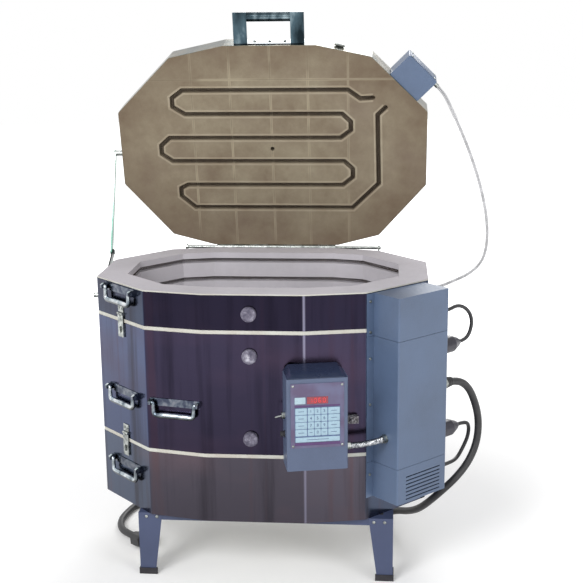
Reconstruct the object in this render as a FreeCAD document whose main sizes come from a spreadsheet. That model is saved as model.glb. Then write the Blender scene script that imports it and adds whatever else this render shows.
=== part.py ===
# Oval electric kiln with a propped lid, a control box on the right front and a controller beside it.
# Millimetres. Z is up, the origin is on the floor under the centre of the oval, and -Y is the front.
# The lid is modelled shut and then turned open about its hinge line, which is how it stands at rest.
import FreeCAD, Part
import math
import os
import re
import Sketcher

V = FreeCAD.Vector
os.makedirs("parts", exist_ok=True)
doc = FreeCAD.newDocument("ElectricKiln")
sheet = doc.addObject("Spreadsheet::Sheet", "Sizes")

# Driving dimensions, each written once
sizes = {
    # oval plan, a twelve-sided figure that is the same left and right
    "half_length": 438,
    "half_width": 298,
    "front_flat": 128,
    "back_flat": 184,
    "front_shoulder": 281,
    "back_shoulder": 304,
    "shoulder_depth": 265,
    "end_flat": 108,
    "bend": 9,
    "jacket": 0.9,
    "brick": 76,
    # heights; all levels below are counted from the bottom edge of the body, on top of the stand
    "leg_height": 175,
    "floor_thick": 64,
    "bottom_high": 180,
    "middle_high": 327,
    "top_high": 98,
    "bare_line": 10,
    "lid_thick": 73,
    "lid_seat": 0.3,
    # element grooves in the walls and in the lid
    "groove_first": 92.5,
    "groove_pitch": 54.4,
    "groove_deep": 14,
    "groove_high": 13,
    "coil": 10,
    "coil_gap": 2,
    "lid_groove_wide": 13,
    "vent_bore": 12,
    # stand
    "stand_left": 318,
    "stand_right": 353,
    "stand_front": 257,
    "leg_top": 64,
    "leg_foot": 41,
    "leg_gauge": 2,
    "cap_high": 17,
    "cap_wall": 2.5,
    "cap_sole": 4,
    "rail_high": 20,
    "rail_flange": 26,
    # hinge and lid angle
    "lid_angle": 77.3,
    "hinge_back": 8,
    "rod_radius": 4.5,
    "knuckle_radius": 7.5,
    "knuckle_long": 50,
    "knuckle_gap": 0.5,
    "running": 0.05,
    "leaf_thick": 2,
    "leaf_deep": 70,
    "rod_left": 272,
    "rod_right": 310,
    "rod_end": 6,
    # lid fittings
    "lid_handle_half": 98,
    "lid_handle_strap": 38,
    "lid_handle_tall": 50,
    "lid_handle_reach": 88,
    "lid_handle_bar": 26,
    "terminal_near": 73,
    "terminal_far": 181,
    "terminal_out": 75,
    "terminal_edge": 6,
    "gland_radius": 8,
    "gland_long": 16,
    # peephole plugs
    "plug_at": 9,
    "plug_radius": 15,
    "plug_tip": 11,
    "plug_head": 19,
    "plug_head_thick": 11,
    "plug_gap": 0.3,
    # chest handles
    "handle_half": 68,
    "handle_drop": 32,
    "handle_grip": 7.5,
    "handle_rod": 4.5,
    "handle_out": 11,
    "ear_thick": 7,
    "ear_radius": 8,
    "plate_thick": 2.5,
    "handle_level": 314,
    "handle_high_level": 589,
    "handle_low_level": 112,
    "handle_front_run": 78,
    "handle_left_run": 116,
    # hasps
    "hasp_wide": 24,
    "hasp_pin": 2.5,
    "hasp_out": 6,
    "hasp_rise": 18,
    "hasp_drop": 44,
    "hasp_run": 117,
    "strap_thick": 2,
    # control box on the right front side
    "box_near": 25,
    "box_far": 202.6,
    "box_out": 90,
    "box_sheet": 1.5,
    "box_low": 60,
    "box_seam_low": 156,
    "box_seam_high": 490,
    "box_high": 600,
    "box_round": 4,
    "seam_gap": 1,
    "louvre_count": 7,
    "louvre_pitch": 10,
    "louvre_near": 56,
    "louvre_far": 180,
    "louvre_low": 68,
    "louvre_high": 3,
    # controller on the front right side
    "case_near": -56,
    "case_far": 96,
    "case_out": 86,
    "case_low": 180,
    "case_high": 416,
    "case_back": 6,
    "case_round": 5,
    "hood_high": 456,
    "hood_near": -40,
    "hood_far": 56,
    "panel_side": 10,
    "panel_thick": 1.6,
    "panel_low": 240,
    "panel_high": 405,
    "window_wide": 52,
    "window_high": 18,
    "window_at": 362,
    "keypad_wide": 112,
    "keypad_low": 255,
    "keypad_high": 344,
    "switch_at": 313,
    "switch_nut": 9,
    "switch_out": 8,
    "switch_lever": 2.6,
    "switch_long": 15,
    "switch_tilt": 12,
    "fuse_radius": 7,
    "fuse_at": 265,
    # folding lid prop at the left end
    "prop_gap": 22,
    "prop_lid_y": 25,
    "prop_body_y": 31,
    "prop_body_z": 520,
    "prop_slack": 26.36,
    "prop_fold": 7.95,
    "catch_y": 84,
    "catch_level": 592,
    "catch_out": 14,
    "prop_wide": 18,
    "prop_gauge": 4,
    "prop_pin": 4,
    "rivet_head": 2,
    "knob_radius": 7,
    "knob_long": 20,
    # sockets and cords on the control box's right wall
    "socket_high": 439,
    "socket_low": 210,
    "socket_out": 58,
    "socket_radius": 22,
    "socket_rim": 5,
    "plug_long": 72,
    "lead_high": 531,
    "lead_low": 108,
    "bush_long": 8,
    "cable_out": 18,
    "supply_exit": 340,
    "supply_out": 66,
    "relief_long": 16,
    "cord_small": 10,
    "cord_large": 20,
    "cord_lid": 9,
    "cable_level": 585,
    "supply_plug_wide": 56,
    "supply_plug_tall": 34,
    "supply_plug_neck": 16,
    "supply_plug_long": 38,
    "supply_blade_apart": 24,
    "supply_blade_thick": 2,
    "supply_blade_tall": 11,
    "supply_blade_long": 24,
    "conduit_level": 225,
    "conduit_rise": 4,
    "conduit_box_out": 45,
    "conduit_wide": 16,
    "conduit_fit": 12,
    "thermo_run": 118,
    "thermo_level": 280,
    "thermo_wide": 34,
    "thermo_tall": 18,
}
for row, (word, value) in enumerate(sizes.items(), start=1):
    sheet.set(f"A{row}", str(value))
    sheet.setAlias(f"A{row}", word)
doc.recompute()
mm = sheet.get


def formula(text):
    """Turn plain words into references to the sheet's cells."""
    return re.sub(r"\b([a-z][a-z_]*)\b", r"Sizes.\1", str(text))


def bind(thing, prop, text):
    thing.setExpression(prop, formula(text))


# Levels that several pieces share
zero = "0"
body_low = "leg_height"
floor_top = "leg_height + floor_thick"
gap_low = "leg_height + bottom_high"
gap_high = "leg_height + bottom_high + middle_high"
rim = "leg_height + bottom_high + middle_high + top_high"
rim_z = mm("leg_height") + mm("bottom_high") + mm("middle_high") + mm("top_high")
gap_low_z = mm("leg_height") + mm("bottom_high")
gap_high_z = gap_low_z + mm("middle_high")
body_low_z = mm("leg_height")


def draw(sketch, points):
    """Closed outline through points given as pairs of formulas."""
    count = len(points)
    for i in range(count):
        turn = 2 * math.pi / count
        start = V(50 * math.cos(turn * i), 50 * math.sin(turn * i), 0)
        end = V(50 * math.cos(turn * (i + 1)), 50 * math.sin(turn * (i + 1)), 0)
        first = sketch.addGeometry(Part.LineSegment(start, end), False)
        if i == 0:
            base = first
    for i in range(count):
        sketch.addConstraint(Sketcher.Constraint("Coincident", base + i, 2, base + (i + 1) % count, 1))
    for i, pair in enumerate(points):
        for kind, text in zip(("DistanceX", "DistanceY"), pair):
            at = sketch.addConstraint(Sketcher.Constraint(kind, -1, 1, base + i, 1, 10.0 + i))
            bind(sketch, f"Constraints[{at}]", text)


def ring(sketch, x, y, radius):
    """Circle whose centre and radius are formulas."""
    at = sketch.addGeometry(Part.Circle(V(0, 0, 0), V(0, 0, 1), 5), False)
    for kind, text in (("DistanceX", x), ("DistanceY", y)):
        place = sketch.addConstraint(Sketcher.Constraint(kind, -1, 1, at, 3, 1.0))
        bind(sketch, f"Constraints[{place}]", text)
    size = sketch.addConstraint(Sketcher.Constraint("Radius", at, 5.0))
    bind(sketch, f"Constraints[{size}]", radius)


def box_points(left, low, right, high):
    return [(left, low), (right, low), (right, high), (left, high)]


# Bodies made of sketches

exported = []


def new_body(label, place=None):
    body = doc.addObject("PartDesign::Body", label)
    body.Label = label
    if place is not None:
        body.Placement = place
    exported.append(body)
    return body


def new_sketch(body, role="XY_Plane", level=zero):
    sketch = body.newObject("Sketcher::SketchObject", f"{body.Label}_sketch")
    plane = next(item for item in body.Origin.OriginFeatures if item.Role == role)
    sketch.AttachmentSupport = [(plane, "")]
    sketch.MapMode = "FlatFace"
    bind(sketch, "AttachmentOffset.Base.z", level)
    return sketch


def pad(body, shape, low, high, role="XY_Plane"):
    """Pad outlines between two levels. An outline is a list of points or a (x, y, radius) circle."""
    sketch = new_sketch(body, role, low)
    for outline in shape:
        if len(outline) == 3 and isinstance(outline[0], str):
            ring(sketch, *outline)
        else:
            draw(sketch, outline)
    solid = body.newObject("PartDesign::Pad", f"{body.Label}_pad")
    solid.Profile = sketch
    bind(solid, "Length", f"{high} - ({low})")
    doc.recompute()
    return solid


def pocket(body, shape, low, high, role="XY_Plane"):
    """Cut outlines between two levels and check that material went."""
    before = body.Shape.Volume
    sketch = new_sketch(body, role, high)
    for outline in shape:
        if len(outline) == 3 and isinstance(outline[0], str):
            ring(sketch, *outline)
        else:
            draw(sketch, outline)
    cut = body.newObject("PartDesign::Pocket", f"{body.Label}_pocket")
    cut.Profile = sketch
    bind(cut, "Length", f"{high} - ({low})")
    doc.recompute()
    if cut.Shape.isNull() or cut.Shape.Volume > before - 0.01:
        cut.Reversed = True
        doc.recompute()
    if cut.Shape.Volume > before - 0.01:
        raise RuntimeError(f"{body.Label}: pocket cut nothing")
    return cut


def soften(body, radius, keep):
    """Fillet the edges that keep(edge) picks."""
    base = body.Tip
    picked = [f"Edge{i}" for i, edge in enumerate(base.Shape.Edges, start=1) if keep(edge)]
    if not picked:
        raise RuntimeError(f"{body.Label}: no edge to round")
    rounded = body.newObject("PartDesign::Fillet", f"{body.Label}_round")
    rounded.Base = (base, picked)
    bind(rounded, "Radius", radius)
    doc.recompute()
    return rounded


def hollow(body, gauge, opening):
    """Shell a body inwards, leaving out the faces that opening(face) picks."""
    base = body.Tip
    picked = [f"Face{i}" for i, face in enumerate(base.Shape.Faces, start=1) if opening(face)]
    shell = body.newObject("PartDesign::Thickness", f"{body.Label}_shell")
    shell.Base = (base, picked)
    bind(shell, "Value", gauge)
    shell.Reversed = True
    shell.Mode = 0
    shell.Join = 1
    doc.recompute()
    return shell


def spin(body, points, role="XY_Plane", axis="V_Axis"):
    """Revolve an outline once about an axis of its own sketch."""
    sketch = new_sketch(body, role)
    draw(sketch, points)
    turned = body.newObject("PartDesign::Revolution", f"{body.Label}_turned")
    turned.Profile = sketch
    turned.ReferenceAxis = (sketch, [axis])
    turned.Angle = 360
    doc.recompute()
    return turned


def upright(edge):
    """True for a straight edge along the body's own Y, which points up on the kiln's sides."""
    return abs(edge.tangentAt(edge.FirstParameter).y) > 0.99


# Places on the kiln's sides: local X runs along the side, Y is up and Z points outwards

def facing(along, up):
    out = along.cross(up)
    return FreeCAD.Rotation(along, up, out, "XYZ")


def on_side(start, end, run=0, level=0, out=0):
    along = (end - start).normalize()
    up = V(0, 0, 1)
    point = start + along * run + up * level + along.cross(up) * out
    return FreeCAD.Placement(point, facing(along, up))


front_left = V(-mm("front_flat"), -mm("half_width"), 0)
front_right = V(mm("front_flat"), -mm("half_width"), 0)
shoulder_left = V(-mm("front_shoulder"), -mm("shoulder_depth"), 0)
shoulder_right = V(mm("front_shoulder"), -mm("shoulder_depth"), 0)
end_left = V(-mm("half_length"), -mm("end_flat"), 0)
end_right = V(mm("half_length"), -mm("end_flat"), 0)

# Plan of the kiln and the outlines offset from it. The corners are rounded by the jacket's bend.

plan = doc.addObject("Sketcher::SketchObject", "plan")
right_side = [
    ("front_flat", "-half_width"),
    ("front_shoulder", "-shoulder_depth"),
    ("half_length", "-end_flat"),
    ("half_length", "end_flat"),
    ("back_shoulder", "shoulder_depth"),
    ("back_flat", "half_width"),
]
draw(plan, right_side + [(f"-({x})", y) for x, y in reversed(right_side)])


def outline(name, source, distance, join="Intersection"):
    offset = doc.addObject("Part::Offset2D", name)
    offset.Source = source
    offset.Join = join
    bind(offset, "Value", distance)
    return offset


core = outline("core", plan, "-bend")
jacket_outside = outline("jacket_outside", core, "bend", "Arc")
jacket_inside = outline("jacket_inside", core, "bend - jacket", "Arc")
chamber = outline("chamber", plan, "-(jacket + brick)")
groove_back = outline("groove_back", plan, "-(jacket + brick - groove_deep)")
coil_outside = outline("coil_outside", plan, "-(jacket + brick - groove_deep + coil_gap)")
coil_inside = outline("coil_inside", plan, "-(jacket + brick - groove_deep + coil_gap + coil)")
doc.recompute()


def prism(name, source, low, high):
    solid = doc.addObject("Part::Extrusion", name)
    solid.Base = source
    solid.DirMode = "Custom"
    solid.Dir = V(0, 0, 1)
    solid.Solid = True
    bind(solid, "LengthFwd", high)
    bind(solid, "LengthRev", f"-({low})")
    return solid


def merged(name, pieces):
    group = doc.addObject("Part::MultiFuse", name)
    group.Shapes = pieces
    return group


def carved(label, base, tools):
    cut = doc.addObject("Part::Cut", label)
    cut.Base = base
    cut.Tool = tools[0] if len(tools) == 1 else merged(f"{label}_tools", tools)
    cut.Label = label
    exported.append(cut)
    return cut


def level_of(number):
    return f"{body_low} + groove_first + groove_pitch * {number}"


# Peepholes: a tapered bore half way between two grooves, wider towards the front
peepholes = {"peephole_plug_low": 2.5, "peephole_plug_middle": 6.5, "peephole_plug_high": 8.5}


def peep_bore(number):
    cone = doc.addObject("Part::Cone", "peep_bore")
    bind(cone, "Radius1", "plug_tip + plug_gap")
    bind(cone, "Radius2", "plug_radius + plug_gap")
    bind(cone, "Height", "brick + jacket")
    cone.Placement.Rotation = FreeCAD.Rotation(V(1, 0, 0), 90)
    bind(cone, "Placement.Base.x", "-plug_at")
    bind(cone, "Placement.Base.y", "-half_width + brick + jacket")
    bind(cone, "Placement.Base.z", level_of(number))
    return cone


# Firebrick: the floor slab and three rings with element grooves round the inside

floor_slab = prism("floor_slab", jacket_inside, "leg_height", floor_top)
floor_slab.Label = "floor_slab"
exported.append(floor_slab)


def brick_ring(label, low, high, grooves, holes):
    block = prism(f"{label}_block", jacket_inside, low, high)
    tools = [prism(f"{label}_chamber", chamber, low, high)]
    for number in grooves:
        half = "groove_high / 2"
        level = level_of(number)
        tools.append(prism(f"{label}_groove", groove_back, f"{level} - {half}", f"{level} + {half}"))
    for number in holes:
        tools.append(peep_bore(number))
    return carved(label, block, tools)


brick_ring("bottom_bricks", floor_top, gap_low, (0, 1), ())
brick_ring("middle_bricks", gap_low, gap_high, range(2, 8), (2.5, 6.5))
brick_ring("top_bricks", gap_high, rim, (8, 9), (8.5,))

# Stainless jackets, one to each section, with a line of bare brick left between them


def jacket_ring(label, low, high, holes):
    outside = prism(f"{label}_outside", jacket_outside, low, high)
    tools = [prism(f"{label}_inside", jacket_inside, low, high)]
    for number in holes:
        tools.append(peep_bore(number))
    return carved(label, outside, tools)


jacket_ring("bottom_jacket", "leg_height", f"{gap_low} - bare_line / 2", ())
jacket_ring("middle_jacket", f"{gap_low} + bare_line / 2", f"{gap_high} - bare_line / 2", (2.5, 6.5))
jacket_ring("top_jacket", f"{gap_high} + bare_line / 2", f"{rim} - bare_line / 3", (8.5,))

# Heating elements lying on the ledges of the wall grooves


def element_rings(label, grooves):
    rings = []
    for number in grooves:
        low = f"{level_of(number)} - groove_high / 2"
        high = f"{level_of(number)} - groove_high / 2 + coil"
        cut = doc.addObject("Part::Cut", f"{label}_ring")
        cut.Base = prism(f"{label}_outer", coil_outside, low, high)
        cut.Tool = prism(f"{label}_inner", coil_inside, low, high)
        rings.append(cut)
    group = merged(label, rings)
    group.Label = label
    exported.append(group)


element_rings("bottom_elements", (0, 1))
element_rings("middle_elements", range(2, 8))
element_rings("top_elements", (8, 9))

# Peephole plugs: tapered ceramic with a round head outside

for label, number in peepholes.items():
    level = body_low_z + mm("groove_first") + mm("groove_pitch") * number
    plug = new_body(label, FreeCAD.Placement(V(-mm("plug_at"), -mm("half_width"), level), FreeCAD.Rotation()))
    spin(plug, [
        (zero, "brick + jacket - plug_gap"),
        (zero, "-plug_head_thick"),
        ("plug_head - 2", "-plug_head_thick"),
        ("plug_head", "-plug_head_thick + 2"),
        ("plug_head", "-plug_gap"),
        ("plug_radius", "-plug_gap"),
        ("plug_tip", "brick + jacket - plug_gap"),
    ])

# Stand: four tapered angle legs in rubber caps, tied by angle rails under the floor slab


def leg(label, place, hand):
    """Angle leg. hand is '' where its corner is on the left as seen from outside, '-' on the right."""
    body = new_body(label, place)
    low = "cap_sole"
    front = [(zero, low), (f"{hand}leg_foot", low), (f"{hand}leg_top", "leg_height"),
             (zero, "leg_height")]
    pad(body, [front], "-leg_gauge", zero)
    side = [(low, zero), (low, "-leg_foot"), ("leg_height", "-leg_top"), ("leg_height", zero)]
    if hand:
        pad(body, [side], "-leg_gauge", zero, "YZ_Plane")
    else:
        pad(body, [side], zero, "leg_gauge", "YZ_Plane")


def foot_cap(label, corner, along, hand):
    """Rubber shoe round the foot of an angle leg. Local X runs along the front, Y inwards and Z up."""
    up = V(0, 0, 1)
    body = new_body(label, FreeCAD.Placement(corner, FreeCAD.Rotation(along, up.cross(along), up, "XYZ")))
    arm = "leg_gauge + cap_wall"
    reach = "leg_foot + cap_wall * 2"
    outer = [(f"{hand}(-cap_wall)", "-cap_wall"), (f"{hand}({reach})", "-cap_wall"),
             (f"{hand}({reach})", arm), (f"{hand}({arm})", arm),
             (f"{hand}({arm})", reach), (f"{hand}(-cap_wall)", reach)]
    seat = "leg_foot + cap_wall"
    inner = [(zero, zero), (f"{hand}({seat})", zero), (f"{hand}({seat})", "leg_gauge"),
             (f"{hand}leg_gauge", "leg_gauge"), (f"{hand}leg_gauge", seat), (zero, seat)]
    pad(body, [outer], zero, "cap_high")
    pocket(body, [inner], "cap_sole", "cap_high")


stand_corners = {
    "front_left": (V(-mm("stand_left"), -mm("stand_front"), 0), V(1, 0, 0), ""),
    "front_right": (V(mm("stand_right"), -mm("stand_front"), 0), V(1, 0, 0), "-"),
    "back_left": (V(-mm("stand_left"), mm("stand_front"), 0), V(-1, 0, 0), "-"),
    "back_right": (V(mm("stand_right"), mm("stand_front"), 0), V(-1, 0, 0), ""),
}
for name, (corner, along, hand) in stand_corners.items():
    leg(f"leg_{name}", FreeCAD.Placement(corner, facing(along, V(0, 0, 1))), hand)
    foot_cap(f"foot_cap_{name}", corner, along, hand)


def rail(label, corner, inwards, low, high):
    """Angle rail: a web inside the legs and a flange on top that the floor slab rests on."""
    body = new_body(label, FreeCAD.Placement(corner, facing(inwards, V(0, 0, 1))))
    section = [("leg_gauge", "leg_height - rail_high"), ("leg_gauge * 2", "leg_height - rail_high"),
               ("leg_gauge * 2", "leg_height - leg_gauge"), ("rail_flange", "leg_height - leg_gauge"),
               ("rail_flange", "leg_height"), ("leg_gauge", "leg_height")]
    pad(body, [section], low, high)


across = "stand_left + stand_right"
rail("rail_front", stand_corners["front_left"][0], V(0, 1, 0), "leg_gauge", f"{across} - leg_gauge")
rail("rail_back", stand_corners["back_right"][0], V(0, -1, 0), "leg_gauge", f"{across} - leg_gauge")
rail("rail_left", stand_corners["back_left"][0], V(1, 0, 0), "rail_flange", "stand_front * 2 - rail_flange")
rail("rail_right", stand_corners["front_right"][0], V(-1, 0, 0), "rail_flange",
     "stand_front * 2 - rail_flange")

# Chest handles: a plate with two ears, and a swinging bail that hangs from them


def chest_handle(label, place):
    bracket = new_body(f"{label}_bracket", place)
    tall = "ear_radius + 2"
    pad(bracket, [box_points("-handle_half", f"-({tall})", "handle_half", tall)], zero, "plate_thick")
    inner = "(handle_half - ear_thick)"
    for low, high in (("-handle_half", f"-{inner}"), (inner, "handle_half")):
        ear = [("-ear_radius", "plate_thick / 2"), ("ear_radius", "plate_thick / 2"),
               ("ear_radius", "handle_out"), ("ear_radius / 2", "handle_out + ear_radius"),
               ("-ear_radius / 2", "handle_out + ear_radius"), ("-ear_radius", "handle_out")]
        pad(bracket, [ear], low, high, "YZ_Plane")
        pocket(bracket, [(zero, "handle_out", "handle_rod + running")], f"{low} - 1", f"{high} + 1", "YZ_Plane")
    bail = new_body(f"{label}_bail", place)
    reach = "(handle_half - ear_thick - handle_rod * 2)"
    pin = [(zero, "handle_out", "handle_rod")]
    pad(bail, pin, "-handle_half", f"-{reach}", "YZ_Plane")
    pad(bail, [[("-handle_half + ear_thick + handle_rod / 4", zero), (f"-{reach} + handle_rod / 4", zero),
                (f"-{reach} + handle_rod / 4", "-handle_drop"),
                ("-handle_half + ear_thick + handle_rod / 4", "-handle_drop")]],
        "handle_out - handle_rod * 0.8", "handle_out + handle_rod * 0.8")
    pad(bail, [("-handle_drop", "handle_out", "handle_grip")],
        "-(handle_half - ear_thick - handle_rod / 4)", "handle_half - ear_thick - handle_rod / 4", "YZ_Plane")
    pad(bail, [[("handle_half - ear_thick - handle_rod / 4", zero), (f"{reach} - handle_rod / 4", zero),
                (f"{reach} - handle_rod / 4", "-handle_drop"),
                ("handle_half - ear_thick - handle_rod / 4", "-handle_drop")]],
        "handle_out - handle_rod * 0.8", "handle_out + handle_rod * 0.8")
    pad(bail, pin, reach, "handle_half", "YZ_Plane")


left_side = (end_left, shoulder_left)
chest_handle("handle_front", on_side(shoulder_left, front_left, mm("handle_front_run"),
                                     body_low_z + mm("handle_level")))
for name, level in (("high", "handle_high_level"), ("middle", "handle_level"), ("low", "handle_low_level")):
    chest_handle(f"handle_left_{name}", on_side(*left_side, mm("handle_left_run"), body_low_z + mm(level)))

# Hasps across the joints between sections: hinged strap above, staple with a turn button below


def hasp(label, place):
    """Local origin on the joint between two sections."""
    half = "hasp_wide / 2"
    leaf = new_body(f"{label}_leaf", place)
    top = "hasp_rise + hasp_wide"
    shut_line = "hasp_rise + hasp_pin + strap_thick"
    pad(leaf, [box_points(f"-{half}", shut_line, half, top)], zero, "strap_thick")
    pad(leaf, [box_points("-hasp_wide / 6", "hasp_rise", "hasp_wide / 6", f"{shut_line} + strap_thick")],
        zero, "strap_thick")
    knuckle = [("hasp_rise", "hasp_out - hasp_pin", "hasp_pin + strap_thick / 2")]
    pad(leaf, knuckle, "-hasp_wide / 6", "hasp_wide / 6", "YZ_Plane")
    pocket(leaf, [("hasp_rise", "hasp_out - hasp_pin", "hasp_pin / 2 + running")],
           "-hasp_wide", "hasp_wide", "YZ_Plane")
    strap = new_body(f"{label}_strap", place)
    pad(strap, [box_points(f"-{half}", "-hasp_drop", half, "hasp_rise - hasp_pin - strap_thick")],
        "hasp_out - hasp_pin - strap_thick / 2", "hasp_out - hasp_pin + strap_thick / 2")
    pocket(strap, [box_points("-hasp_wide / 8", "-hasp_drop * 0.75", "hasp_wide / 8", "-hasp_drop * 0.35")],
           zero, "hasp_out * 2")
    for low, high in ((f"-{half}", "-hasp_wide / 6 - knuckle_gap / 2"),
                      ("hasp_wide / 6 + knuckle_gap / 2", half)):
        pad(strap, knuckle, low, high, "YZ_Plane")
        pad(strap, [box_points("hasp_rise - hasp_pin - strap_thick * 2",
                               "hasp_out - hasp_pin - strap_thick / 2",
                               "hasp_rise", "hasp_out - hasp_pin + strap_thick / 2")], low, high, "YZ_Plane")
    pad(strap, [("hasp_rise", "hasp_out - hasp_pin", "hasp_pin / 2")], f"-{half}", half, "YZ_Plane")
    staple = new_body(f"{label}_staple", place)
    pad(staple, [box_points(f"-{half}", "-hasp_drop * 0.9", half, "-hasp_drop * 0.2")], zero, "strap_thick / 2")
    pad(staple, [box_points("-hasp_wide / 12", "-hasp_drop * 0.7", "hasp_wide / 12", "-hasp_drop * 0.4")],
        "strap_thick / 4", "hasp_out + hasp_pin")


hasp("hasp_high", on_side(*left_side, mm("hasp_run"), gap_high_z))
hasp("hasp_low", on_side(*left_side, mm("hasp_run"), gap_low_z))

# Control box on the right front side: three stacked sheet-metal covers with a screwed flange


def control_cover(label, low, high):
    """Open-backed cover. Local X runs along the side, Y is up and Z points out from the jacket."""
    body = new_body(label, on_side(shoulder_right, end_right, 0, body_low_z))
    pad(body, [box_points("box_near", low, "box_far", high)], zero, "box_out")

    def outer_corner(edge):
        return upright(edge) and abs(edge.CenterOfGravity.z - mm("box_out")) < 0.01

    soften(body, "box_round", outer_corner)
    hollow(body, "box_sheet", lambda face: face.normalAt(0, 0).z < -0.99)
    pad(body, [box_points("box_sheet", low, "box_near + box_sheet / 2", high)], zero, "box_sheet")
    return body


half_seam = "seam_gap / 2"
cover = control_cover("control_box_bottom", "box_low", f"box_seam_low - {half_seam}")
for number in range(int(mm("louvre_count"))):
    low = f"louvre_low + louvre_pitch * {number}"
    pocket(cover, [box_points("louvre_near", low, "louvre_far", f"{low} + louvre_high")],
           "box_out - box_sheet * 2", "box_out + 1")
control_cover("control_box_middle", f"box_seam_low + {half_seam}", f"box_seam_high - {half_seam}")
control_cover("control_box_top", f"box_seam_high + {half_seam}", "box_high")

# Controller on the front right side, hung in front of the jacket on a sloped bracket

case_place = on_side(front_right, shoulder_right, 0, body_low_z)
case = new_body("controller_case", case_place)
pad(case, [box_points("case_near", "case_low", "case_far", "case_high")], "case_back", "case_out")
soften(case, "case_round", upright)
hood = new_body("controller_hood", case_place)
slope = [("hood_high", zero), ("hood_high - case_round", "case_round * 2"),
         ("case_high", "case_out * 0.9"), ("case_high", zero)]
pad(hood, [slope], "hood_near", "hood_far", "YZ_Plane")
hanger = new_body("controller_bracket", case_place)
pad(hanger, [box_points("case_round", "case_low + case_round", "case_far - case_round",
                        "case_high - case_round")], zero, "case_back")
panel = new_body("controller_panel", case_place)
pad(panel, [box_points("case_near + panel_side", "panel_low", "case_far - panel_side", "panel_high")],
    "case_out", "case_out + panel_thick")
centre = "(case_near + case_far) / 2"
window = new_body("display_window", case_place)
pad(window, [box_points(f"{centre} - window_wide / 2", "window_at - window_high / 2",
                        f"{centre} + window_wide / 2", "window_at + window_high / 2")],
    "case_out + panel_thick", "case_out + panel_thick * 1.6")
keypad = new_body("keypad", case_place)
pad(keypad, [box_points(f"{centre} - keypad_wide / 2", "keypad_low", f"{centre} + keypad_wide / 2",
                        "keypad_high")], "case_out + panel_thick", "case_out + panel_thick * 1.5")

# Toggle switch and fuse holder on the controller's left wall. Local Z points out of that wall.
side_out = case_place.Rotation.multVec(V(-1, 0, 0))


def on_case_side(level):
    """Place on the left wall of the case, half way deep: X runs forwards, Y is up."""
    middle = (mm("case_back") + mm("case_out")) / 2
    point = case_place.multVec(V(mm("case_near"), level, middle))
    return FreeCAD.Placement(point, facing(V(0, 0, 1).cross(side_out), V(0, 0, 1)))


switch_place = on_case_side(mm("switch_at"))
switch = new_body("switch_base", switch_place)
pad(switch, [(zero, zero, "switch_nut")], zero, "switch_out")
pocket(switch, [(zero, zero, "switch_lever * 2.2")], "switch_out / 4", "switch_out + 1")
lever_tilt = FreeCAD.Placement(V(0, 0, 0), FreeCAD.Rotation(V(1, 0, 0), mm("switch_tilt")),
                               V(0, 0, mm("switch_out") / 3))
lever = new_body("toggle_lever", switch_place.multiply(lever_tilt))
spin(lever, [(zero, "switch_out / 3"), ("switch_lever * 0.8", "switch_out / 3"),
             ("switch_lever * 0.8", "switch_out"), ("switch_lever", "switch_out + switch_long"),
             ("switch_lever * 0.6", "switch_out + switch_long + 1.5"), (zero, "switch_out + switch_long + 1.5")],
     "XZ_Plane")
fuse = new_body("fuse_holder", on_case_side(mm("fuse_at")))
pad(fuse, [(zero, zero, "fuse_radius + 2")], zero, "fuse_radius / 4")
pad(fuse, [(zero, zero, "fuse_radius")], "fuse_radius / 4", "fuse_radius * 1.6")

# Hinge along the back: a leaf with knuckles on the top jacket, a rod, and three straps on the lid

hinge_y = mm("half_width") + mm("hinge_back")
hinge_line = V(0, hinge_y, rim_z)
opened = FreeCAD.Placement(V(0, 0, 0), FreeCAD.Rotation(V(1, 0, 0), -mm("lid_angle")), hinge_line)

# Local X runs along +Y and Y is up, so that Z runs along the rod; the origin is on the hinge line
rod_frame = FreeCAD.Placement(hinge_line, facing(V(0, 1, 0), V(0, 0, 1)))


def knuckle_span(number):
    low = f"(knuckle_long + knuckle_gap) * ({number}) - knuckle_long / 2"
    return low, f"{low} + knuckle_long"


def hinge_piece(label, place, numbers, end, bore, side):
    """Leaf with knuckles round the rod. side is '' above the hinge line and '-' below it."""
    body = new_body(label, place)
    web = [("-hinge_back", end), ("-hinge_back + leaf_thick", end),
           ("-hinge_back + leaf_thick", f"{side}knuckle_radius"), ("-rod_radius / 2", f"{side}rod_radius * 1.2"),
           ("-rod_radius", zero), ("-hinge_back + running * 10", zero),
           ("-hinge_back", f"{side}knuckle_radius / 3")]
    for number in numbers:
        low, high = knuckle_span(number)
        pad(body, [(zero, zero, "knuckle_radius")], low, high)
        pad(body, [web], low, high)
    first = knuckle_span(numbers[0])[0]
    last = knuckle_span(numbers[-1])[1]
    if side:
        pad(body, [box_points("-hinge_back", end, "-hinge_back + leaf_thick", f"{side}knuckle_radius * 1.5")],
            first, last)
    pocket(body, [(zero, zero, bore)], first, last)


hinge_piece("hinge_leaf", rod_frame, (-3, -1, 1, 3), "-leaf_deep", "rod_radius", "-")
lid_frame = opened.multiply(rod_frame)
hinge_piece("lid_hinge_straps", lid_frame, (-2, 0, 2), "lid_thick * 0.7", "rod_radius + running", "")
rod = new_body("hinge_rod", rod_frame)
pad(rod, [(zero, zero, "rod_radius")], "-rod_left", "rod_right")

# End brackets that carry the rod where the back turns forwards


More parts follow.
